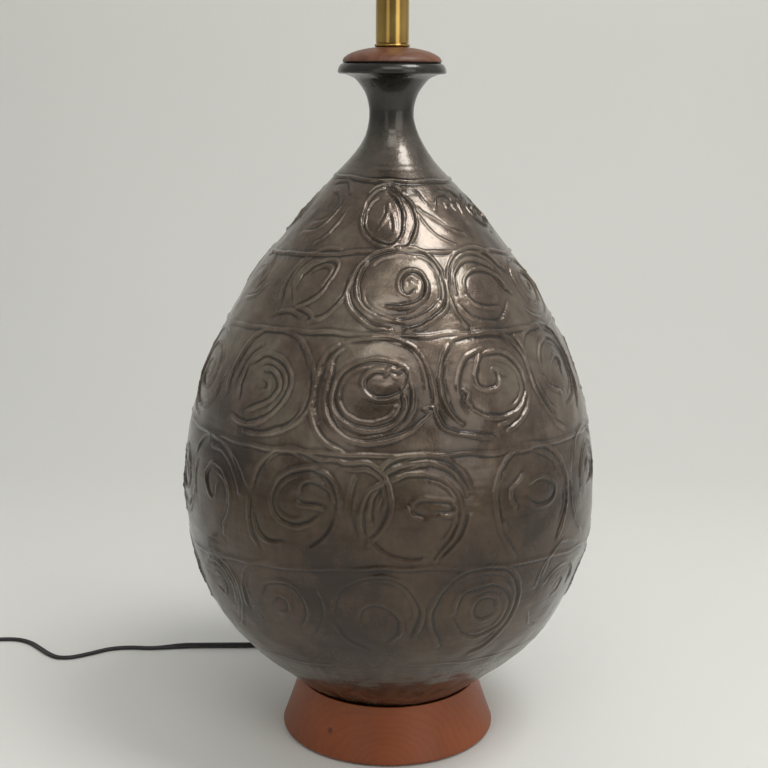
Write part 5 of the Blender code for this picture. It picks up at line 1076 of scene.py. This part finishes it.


# Manganese glaze, fired: part metallic, nearly black at the rim, with run streaks at the foot and pinholes
# all over. Its colour is also made darker and browner on the lower half, partly as browner glaze and partly
# as painted shade; darker in the scored lines, partly as glaze that breaks dark there and partly as painted
# shade; and lighter on the crests, as painted sheen
glaze, tree, shader, place = new_material("manganese_pewter_glaze", Metallic=0.62, Roughness=0.4, IOR=1.5,
                                          Coat_Weight=0.45, Coat_Roughness=0.13, Coat_IOR=1.6)
lines = add(tree, "Attribute", attribute_name="slip_lines").outputs["Fac"]
height = add(tree, "SeparateXYZ", {"Vector": place}).outputs["Z"]
cloud = noise(tree, place, 60, 4.0, 0.6)
mottle = noise(tree, place, 5, 5.0, 0.65)
run_place = add(tree, "Mapping", {"Vector": place, "Scale": (1.0, 1.0, 0.12)}).outputs["Vector"]
streaks = noise(tree, run_place, 9, 3.0)
tone = ramp(tree, cloud, (0.36, "#463a2f"), (0.50, "#66574b"), (0.62, "#756a5c"))
# Painted shade in part: below about 0.26 m the colour is multiplied darker and browner, for browner glaze and
# for shade on the lower half
tone = mixed(tree, between(tree, height, 0.235, 0.290, 1.0, 0.0), tone,
             combined(tree, "MULTIPLY", tone, (0.36, 0.280, 0.200)))
tone = mixed(tree, between(tree, height, 0.430, 0.490), tone, "#565048")
tone = mixed(tree, between(tree, height, 0.483, 0.508), tone, "#2b2825")
tone = scaled(tree, tone, mapped(tree, mottle, 0.3, 0.7, 0.84, 1.14))
tone = scaled(tree, tone, mapped(tree, streaks, 0.3, 0.7, 0.86, 1.12))
# Painted shade and painted sheen: the scored lines are darkened, partly for glaze that breaks dark there and
# partly as painted shade, and the crests are lightened as painted sheen
scored_shade_and_glaze = mapped(tree, lines, -0.32, -0.03, 0.36, 1.0)
crest_painted_sheen = mapped(tree, lines, 0.1, 0.7, 1.0, 1.15)
lines_shade_and_sheen = add(tree, "Math", {0: scored_shade_and_glaze, 1: crest_painted_sheen}, operation="MULTIPLY").outputs["Value"]
tone = scaled(tree, tone, lines_shade_and_sheen)
foot_runs = ramp(tree, streaks, (0.42, "#2f2117"), (0.56, "#484132"))
tone = mixed(tree, between(tree, height, 0.060, 0.125, 1.0, 0.0), tone, foot_runs)
gloss = add(tree, "Math", {0: mapped(tree, cloud, 0.3, 0.7, 0.22, 0.36),
                           1: mapped(tree, mottle, 0.0, 1.0, -0.06, 0.06)}, operation="ADD").outputs["Value"]
pits = add(tree, "TexVoronoi", {"Vector": place, "Scale": 1000 / 3.4}, feature="F1").outputs["Distance"]
pitted = {0: mapped(tree, pits, 0.05, 0.22, -1.0, 0.0), 1: 0.35, 2: noise(tree, place, 2.0, 4.0, 0.55)}
skin = add(tree, "Math", pitted, operation="MULTIPLY_ADD").outputs["Value"]
feed(tree, shader, tone, gloss, bumped(tree, skin, 0.50, 0.0004))

# Each course is closed by the plain inner face of the wall; the lowest has the floor and its hole
for number, (first, last, around_count) in enumerate(zip(seam_rows, seam_rows[1:], COURSE_COLUMNS)):
    skip = COLUMNS // around_count
    outer = wall_points[first:last + 1, ::skip]
    outer_normals = wall_normals[first:last + 1, ::skip]
    outer_lines = slip_lines[first:last + 1, ::skip]
    inner_rows = np.unique(np.linspace(first, last, 7).round().astype(int))[::-1]
    inner_r = np.maximum(row_radius[inner_rows] - WALL * out_r[inner_rows], MOUTH_RADIUS)
    inner_z = row_height[inner_rows] - WALL * out_z[inner_rows]
    if first == 0:
        inner_z[-1] = row_height[0] + FOOT_THICKNESS
        inner_r = np.append(inner_r, [FOOT_HOLE, FOOT_HOLE])
        inner_z = np.append(inner_z, [row_height[0] + FOOT_THICKNESS, row_height[0]])
    if last == seam_rows[-1]:
        inner_r[0], inner_z[0] = MOUTH_RADIUS, row_height[-1]
    ring_azimuth = azimuth[::skip]
    inner = np.stack([inner_r[:, None] * np.sin(ring_azimuth), -inner_r[:, None] * np.cos(ring_azimuth),
                      np.repeat(inner_z[:, None], around_count, 1)], -1) / 1000
    grid = np.concatenate([outer, inner])
    total = len(grid)
    mesh = bpy.data.meshes.new("ceramic_course_%d" % (number + 1))
    mesh.from_pydata(grid.reshape(-1, 3).tolist(), [], grid_faces(total, around_count, wrap_rows=True))
    line_values = np.concatenate([outer_lines, np.zeros(inner.shape[:2])]).astype(np.float32)
    mesh.attributes.new("slip_lines", "FLOAT", "POINT").data.foreach_set("value", line_values.ravel())
    mesh.shade_smooth()
    normals = np.concatenate([outer_normals, np.zeros(inner.shape)]).reshape(-1, 3)
    mesh.normals_split_custom_set_from_vertices(normals.tolist())
    mesh.materials.append(glaze)
    course = bpy.data.objects.new(mesh.name, mesh)
    scene.collection.objects.link(course)
    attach(course, "lamp")
    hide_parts("ceramic_body")


# Walnut cap. A low dome turned from the same timber, with a spigot in the vessel's mouth.

cap_walnut = walnut_finish("oiled_walnut_cap", (0.010, 0.0, 0.520), "#5e3926", "#6b422d", "#724935")
cap_profile = [(PIPE_HOLE, 0.5554), (0.0146, 0.5554)]
cap_profile += arc(0.0, 0.5448, 0.0382, 0.01147, 67.5, 3, 24)
cap_profile += [(0.0380, 0.5449), (0.0376, 0.5448), (0.0121, 0.5448), (0.0121, 0.5368), (PIPE_HOLE, 0.5368)]
piece("turned_walnut_cap", [turned(cap_profile, 160)], cap_walnut, "lamp", "walnut", "walnut_cap")


# Brass ring, neck and neck cap. Drawn one-inch tube, polished along its length and lacquered,
# between a small ring and a spun cap that centre it on the pipe.

brass, tree, shader, place = new_material("polished_brass", Metallic=1.0, Roughness=0.16)
cloud = noise(tree, place, 18, 4.0)
tone = ramp(tree, cloud, (0.3, "#a5864b"), (0.7, "#b99a5a"))
line_place = add(tree, "Mapping", {"Vector": place, "Scale": (1.0, 1.0, 0.02)}).outputs["Vector"]
drawn = bumped(tree, noise(tree, line_place, 1.6, 3.0), 0.10, 0.0002)
feed(tree, shader, tone, mapped(tree, cloud, 0.0, 1.0, 0.10, 0.24), drawn)

ring_profile = arc(0.01235, 0.55705, 0.00135, 0.00135, 90, -90, 12)
ring_profile += [(PIPE_HOLE, 0.5557), (PIPE_HOLE, 0.5584)]
tube_profile = [(0.0117, 0.5587), (0.0117, 0.6067), (0.0125, 0.6067), (0.0127, 0.6065), (0.0127, 0.5589),
                (0.0125, 0.5587)]
neck_cap_profile = arc(PIPE_HOLE, 0.6070, 0.0081, 0.0046, 60, 0, 10)
neck_cap_profile += [(0.0114, 0.6070), (0.0114, 0.6040), (PIPE_HOLE, 0.6040), (PIPE_HOLE, 0.6110)]
piece("brass_ring", [turned(ring_profile, 96)], brass, "lamp", "brass", "check_ring")
piece("drawn_brass_neck", [turned(tube_profile, 128)], brass, "lamp", "brass", "brass_neck")
piece("spun_neck_cap", [turned(neck_cap_profile, 96)], brass, "lamp", "brass", "neck_cap")


# Harp saddle. A brass strip bent up at both ends, clamped on the pipe; its arms narrow to the tabs
# that the harp's legs stand on. The small brass parts that keep their shape get the same finish.

for node in ("harp_saddle", "centre_contact", "terminal_screw_hot", "switch_shaft", "plug_blade_hot",
             "plug_blade_neutral"):
    dress(node, brass)


# Lampholder case. Thin brass, spun and plated: a cap with its hub on the pipe, and a shell with a
# rolled mouth that snaps into the cap.

HUB_SEAT = 0.6174
SHELL_SEAT = 0.6344
cap_wall = [(0.0180, HUB_SEAT + 0.0230), (0.0180, HUB_SEAT + 0.0182)]
cap_wall += [(0.0182, HUB_SEAT + 0.0178), (0.0182, HUB_SEAT + 0.0172), (0.0180, HUB_SEAT + 0.0168)]
cap_wall += arc(0.0140, HUB_SEAT + 0.0162, 0.0040, 0.0077, 0, -82, 12)
cap_wall += [(0.0092, HUB_SEAT + 0.0083)] + arc(0.0090, HUB_SEAT + 0.0069, 0.0014, 0.0014, 90, 180, 5)
cap_wall += [(0.0076, HUB_SEAT + 0.0006), (0.0072, HUB_SEAT), (PIPE_HOLE, HUB_SEAT)]
cap_wall += [(PIPE_HOLE, HUB_SEAT + 0.0092)] + arc(0.0140, HUB_SEAT + 0.0162, 0.0033, 0.0070, -90, 0, 10)
cap_wall += [(0.0173, HUB_SEAT + 0.0230)]
piece("spun_socket_cap", [turned(cap_wall, 96)], brass, "lamp", "brass", "socket_cap")
shell_wall = [(0.0170, SHELL_SEAT), (0.0170, SHELL_SEAT + 0.0080)]
shell_wall += [(0.0170 + 0.0003 * math.sin(a), SHELL_SEAT + 0.0080 + 0.0016 * a / math.pi)
               for a in np.linspace(0, math.pi, 9)]
shell_wall += [(0.0170, SHELL_SEAT + 0.0428)] + arc(0.0170, SHELL_SEAT + 0.0439, 0.0007, 0.0011, -80, 90, 8)
shell_wall += arc(0.0169, SHELL_SEAT + 0.0443, 0.0006, 0.0007, 90, 180, 4) + [(0.0163, SHELL_SEAT)]
piece("rolled_socket_shell", [turned(shell_wall, 96)], brass, "lamp", "brass", "socket_shell")


# Card liner. A rolled sleeve of grey fibre card that keeps the live parts off the brass shell.

card = clouded_material("fibre_card", 1.3, 5.0, "#4a463d", "#6a6557", (0.3, 0.0003),
                        stretch=(1.0, 1.0, 0.35), Roughness=0.88)
liner_wall = [(0.0154, SHELL_SEAT), (0.0154, 0.6785), (0.0156, 0.6787), (0.0158, 0.6787), (0.0160, 0.6785),
              (0.0160, SHELL_SEAT)]
piece("card_liner", [turned(liner_wall, 96)], card, "lamp", "card", "insulator_sleeve")


# Lampholder inside. A black phenolic body holds the rolled aluminium screw shell, the sprung centre
# contact and the terminal screws, with the two conductors brought up to them.

phenolic = clouded_material("moulded_phenolic", 3.0, 5.0, "#121010", "#221d1b", (0.08, 0.0003),
                            gloss=(0.24, 0.42), Roughness=0.32, IOR=1.6)
dress("socket_interior", phenolic)
aluminium = clouded_material("pressed_aluminium", 6.0, 4.0, "#c2c2c3", "#dcdcdc", (0.15, 0.0002),
                             gloss=(0.2, 0.42), stretch=(1.0, 1.0, 6.0), Metallic=1.0, Roughness=0.3)

THREAD_PITCH = 0.0036
THREAD_STEPS = 96
THREAD_START, THREAD_END = 0.6540, 0.6746
HALF_SHEET = 0.0002
thread_turn = np.linspace(0.0, math.tau, THREAD_STEPS, endpoint=False)
thread_z = np.linspace(THREAD_START, THREAD_END, 75)
fade = np.clip(np.minimum(thread_z - THREAD_START, THREAD_END - thread_z) / 0.0015, 0.0, 1.0)[:, None]
# The rolled thread: the radius swells by a sine that climbs one pitch a turn and fades at its ends
thread_r = 0.0132 + 0.0004 * np.sin(thread_z[:, None] / THREAD_PITCH * math.tau - thread_turn) * fade


def screw_rows(radius, heights):
    """Rows of the screw shell's grid, one at each height, with a radius for each point."""
    radius = np.broadcast_to(radius, (len(heights), THREAD_STEPS))
    height = np.repeat(np.array(heights)[:, None], THREAD_STEPS, 1)
    return np.stack([radius * np.cos(thread_turn), radius * np.sin(thread_turn), height], -1)


screw_grid = np.concatenate([
    screw_rows(0.0056, [0.6532]), screw_rows(0.0134, [0.6532]), screw_rows(thread_r + HALF_SHEET, thread_z),
    screw_rows(0.0136, [0.6752]), screw_rows(0.0132, [0.6752]),
    screw_rows(thread_r - HALF_SHEET, thread_z)[::-1],
    screw_rows(0.0130, [0.6537]), screw_rows(0.0056, [0.6537]),
])
screw_shell = (screw_grid.reshape(-1, 3), grid_faces(len(screw_grid), THREAD_STEPS, wrap_rows=True))
piece("rolled_screw_shell", [screw_shell], aluminium, "lamp", "aluminium", "screw_shell")

ROD_TOP = 0.6249
LOW_RUN = 0.00455
TURN_RADIUS = 0.0110
inner_route = [(0.0, BUSHING_TIP, EXIT_HEIGHT), (0.0, BUSHING_START, EXIT_HEIGHT)]
inner_route += [(0.0, BUSHING_START - s * 0.0235, LOW_RUN + 0.003225 * (1 + math.cos(math.pi * s)))
                for s in np.linspace(0, 1, 7)[1:-1]]
inner_route += [(0.0, 0.0345, LOW_RUN), (0.0, 0.02275, LOW_RUN)]
inner_route += [(0.0, y, z) for y, z in
                arc(TURN_RADIUS, LOW_RUN + TURN_RADIUS, TURN_RADIUS, TURN_RADIUS, -90, -180, 12)]
inner_route += [(0.0, 0.0, ROD_TOP)]


def wire(points, section):
    """Shell of a wire whose path lies in a plane of constant X or Y: the section is carried square
    to the path, its first side along that plane's normal."""
    path = np.array(points, dtype=float)
    step = np.gradient(path, axis=0)
    step /= np.linalg.norm(step, axis=1)[:, None]
    side = np.array([(1.0, 0.0, 0.0) if np.ptp(path[:, 0]) < 1e-9 else (0.0, 1.0, 0.0)])
    return swept(path, section, side, np.cross(step, side))


def circle(radius, steps=24):
    """Points round a circle in a plane."""
    turn = np.linspace(0.0, math.tau, steps, endpoint=False)
    return radius * np.stack([np.cos(turn), np.sin(turn)], 1)


piece("inner_flat_cord", [wire(inner_route, twin_section)], vinyl, "lamp", "vinyl", "inner_cord")
for side, word in ((-1, "hot"), (1, "neutral")):
    route = [(side * 0.001325, 0.0, 0.6252), (side * 0.001325, 0.0, 0.6278), (side * 0.0060, 0.0, 0.6304),
             (side * 0.0112, 0.0, 0.6312), (side * 0.0121, 0.0, 0.6321), (side * 0.0121, 0.0, 0.6335)]
    piece("conductor_" + word, [wire(smooth_line(route, 8), circle(0.0009))], vinyl, "lamp", "vinyl",
          "wire_" + word)


# Turn switch. A fluted black phenolic knob pressed on the switch's brass shaft.

KNOB_STEPS = 144
KNOB_HEIGHT = 0.6464
KNOB_FLUTES = 12
# Share of the knob's radius at each distance along it
KNOB_PROFILE = ((0.30, -0.0182), (0.90, -0.0182), (0.97, -0.0185), (1.0, -0.0190), (1.0, -0.0288),
                (0.985, -0.0296), (0.95, -0.0302), (0.88, -0.0307), (0.74, -0.0310), (0.50, -0.0312),
                (0.0, -0.0312), (0.0, -0.0182))
knob_angle = np.linspace(0.0, math.tau, KNOB_STEPS, endpoint=False)
knob_outline = 0.0062 - 0.00035 * (1 - np.cos(KNOB_FLUTES * knob_angle))
share, knob_y = (np.array(column)[:, None] for column in zip(*KNOB_PROFILE))
knob_grid = np.stack([share * knob_outline * np.cos(knob_angle), np.repeat(knob_y, KNOB_STEPS, 1),
                      KNOB_HEIGHT + share * knob_outline * np.sin(knob_angle)], -1)
knob_shell = (knob_grid.reshape(-1, 3), grid_faces(len(KNOB_PROFILE), KNOB_STEPS, wrap_rows=True))
piece("fluted_knob", [knob_shell], phenolic, "switch", "phenolic", "switch_knob")


# Harp. One length of brass-plated spring wire bent to a loop, its top flattened to an eye, standing
# on the saddle's tabs under two sliding sleeves with a beaded foot.

HARP_SEAT = 0.6386
HARP_LEG = 0.0270
LEG_HEIGHT = 0.0340
LOOP_HEIGHT = 0.1690
LOOP_SWELL = 0.0300
HARP_TOP = 0.2030
EYE_CENTRE = 0.8416
WIRE_RADIUS = 0.0023
harp_side = [(HARP_LEG, 0.0, 0.0), (HARP_LEG, 0.0, 0.0170), (HARP_LEG, 0.0, LEG_HEIGHT)]
harp_side += [(HARP_LEG + r * LOOP_SWELL, 0.0, LEG_HEIGHT + z * LOOP_HEIGHT) for r, z in
              ((0.22, 0.07), (0.78, 0.26), (1.00, 0.48), (0.93, 0.70), (0.62, 0.88))]
harp_side += [(0.01938, 0.0, HARP_TOP), (0.0, 0.0, HARP_TOP)]
harp_half = spaced(smooth_line(harp_side, 14), 0.0022) + (0.0, 0.0, HARP_SEAT)
harp_half = harp_half[harp_half[:, 0] > 0.0052]
flat_share = np.clip((0.0135 - harp_half[:, 0]) / 0.0045, 0.0, 1.0) * (harp_half[:, 2] > 0.80)
flattened = np.stack([1 + 0.25 * flat_share, 1 - 0.22 * flat_share], 1)[:, None]
right_wire = wire(harp_half, circle(WIRE_RADIUS) * flattened)
left_wire = (right_wire[0] * (-1.0, 1.0, 1.0), right_wire[1])
eye_ring = arc(0.0066, EYE_CENTRE, 0.0012, 0.0018, 80, -80, 8)
eye_ring += [(r, EYE_CENTRE + z) for r, z in
             ((0.0028, -0.0018), (0.0024, -0.0014), (0.0024, 0.0014), (0.0028, 0.0018))]
piece("harp_wire_loop", [left_wire, right_wire, turned(eye_ring, 64)], brass, "harp_wire", "brass", "harp")
sleeve_wall = [(0.0034, 0.6436), (0.0036, 0.6434), (0.0036, 0.6286)]
sleeve_wall += arc(0.0036, 0.6276, 0.0005, 0.0009, 80, -80, 8)
sleeve_wall += [(0.0036, 0.6266), (0.0026, 0.6266), (0.0026, 0.6436)]
for side, word in ((-1, "left"), (1, "right")):
    sleeve = placed(turned(sleeve_wall, 48), Matrix.Translation((side * HARP_LEG, 0.0, 0.0)))
    piece("beaded_sleeve_" + word, [sleeve], brass, word + "_sleeve", "brass", "harp_sleeve_" + word)


# Swivel stud and finial. A turned brass stud riveted loosely in the harp's eye, whose flange the
# shade rests on, and a ball finial screwed on its post.

stud_wall = [(0.0, 0.8569), (0.0028, 0.8569), (0.0031, 0.8566), (0.0031, 0.8457), (0.0073, 0.8457),
             (0.0073, 0.8459), (0.0082, 0.8459), (0.0085, 0.8456), (0.0085, 0.8440), (0.0082, 0.8437),
             (0.0021, 0.8437), (0.0021, 0.8395), (0.0040, 0.8395), (0.0038, 0.8385), (0.0030, 0.8381),
             (0.0, 0.8381)]
piece("turned_stud", [turned(stud_wall, 64, ring=False)], brass, "stud", "brass", "swivel_stud")
finial_wall = arc(0.0, 0.8668, 0.0092, 0.0092, 90, -52, 26)
finial_wall += [(0.0051, 0.8590), (0.0049, 0.8578), (0.0050, 0.8566), (0.0056, 0.8552), (0.0066, 0.8544)]
finial_wall += arc(0.0060, 0.8531, 0.0010, 0.0012, 70, -20, 4) + [(0.0066, 0.8520), (0.0066, 0.8512)]
finial_wall += [(0.0070, 0.8508), (0.0070, 0.8463), (0.0067, 0.8460), (0.0034, 0.8460), (0.0034, 0.8585),
                (0.0, 0.8585)]
piece("ball_finial", [turned(finial_wall, 96, ring=False)], brass, "finial_turn", "brass", "finial")
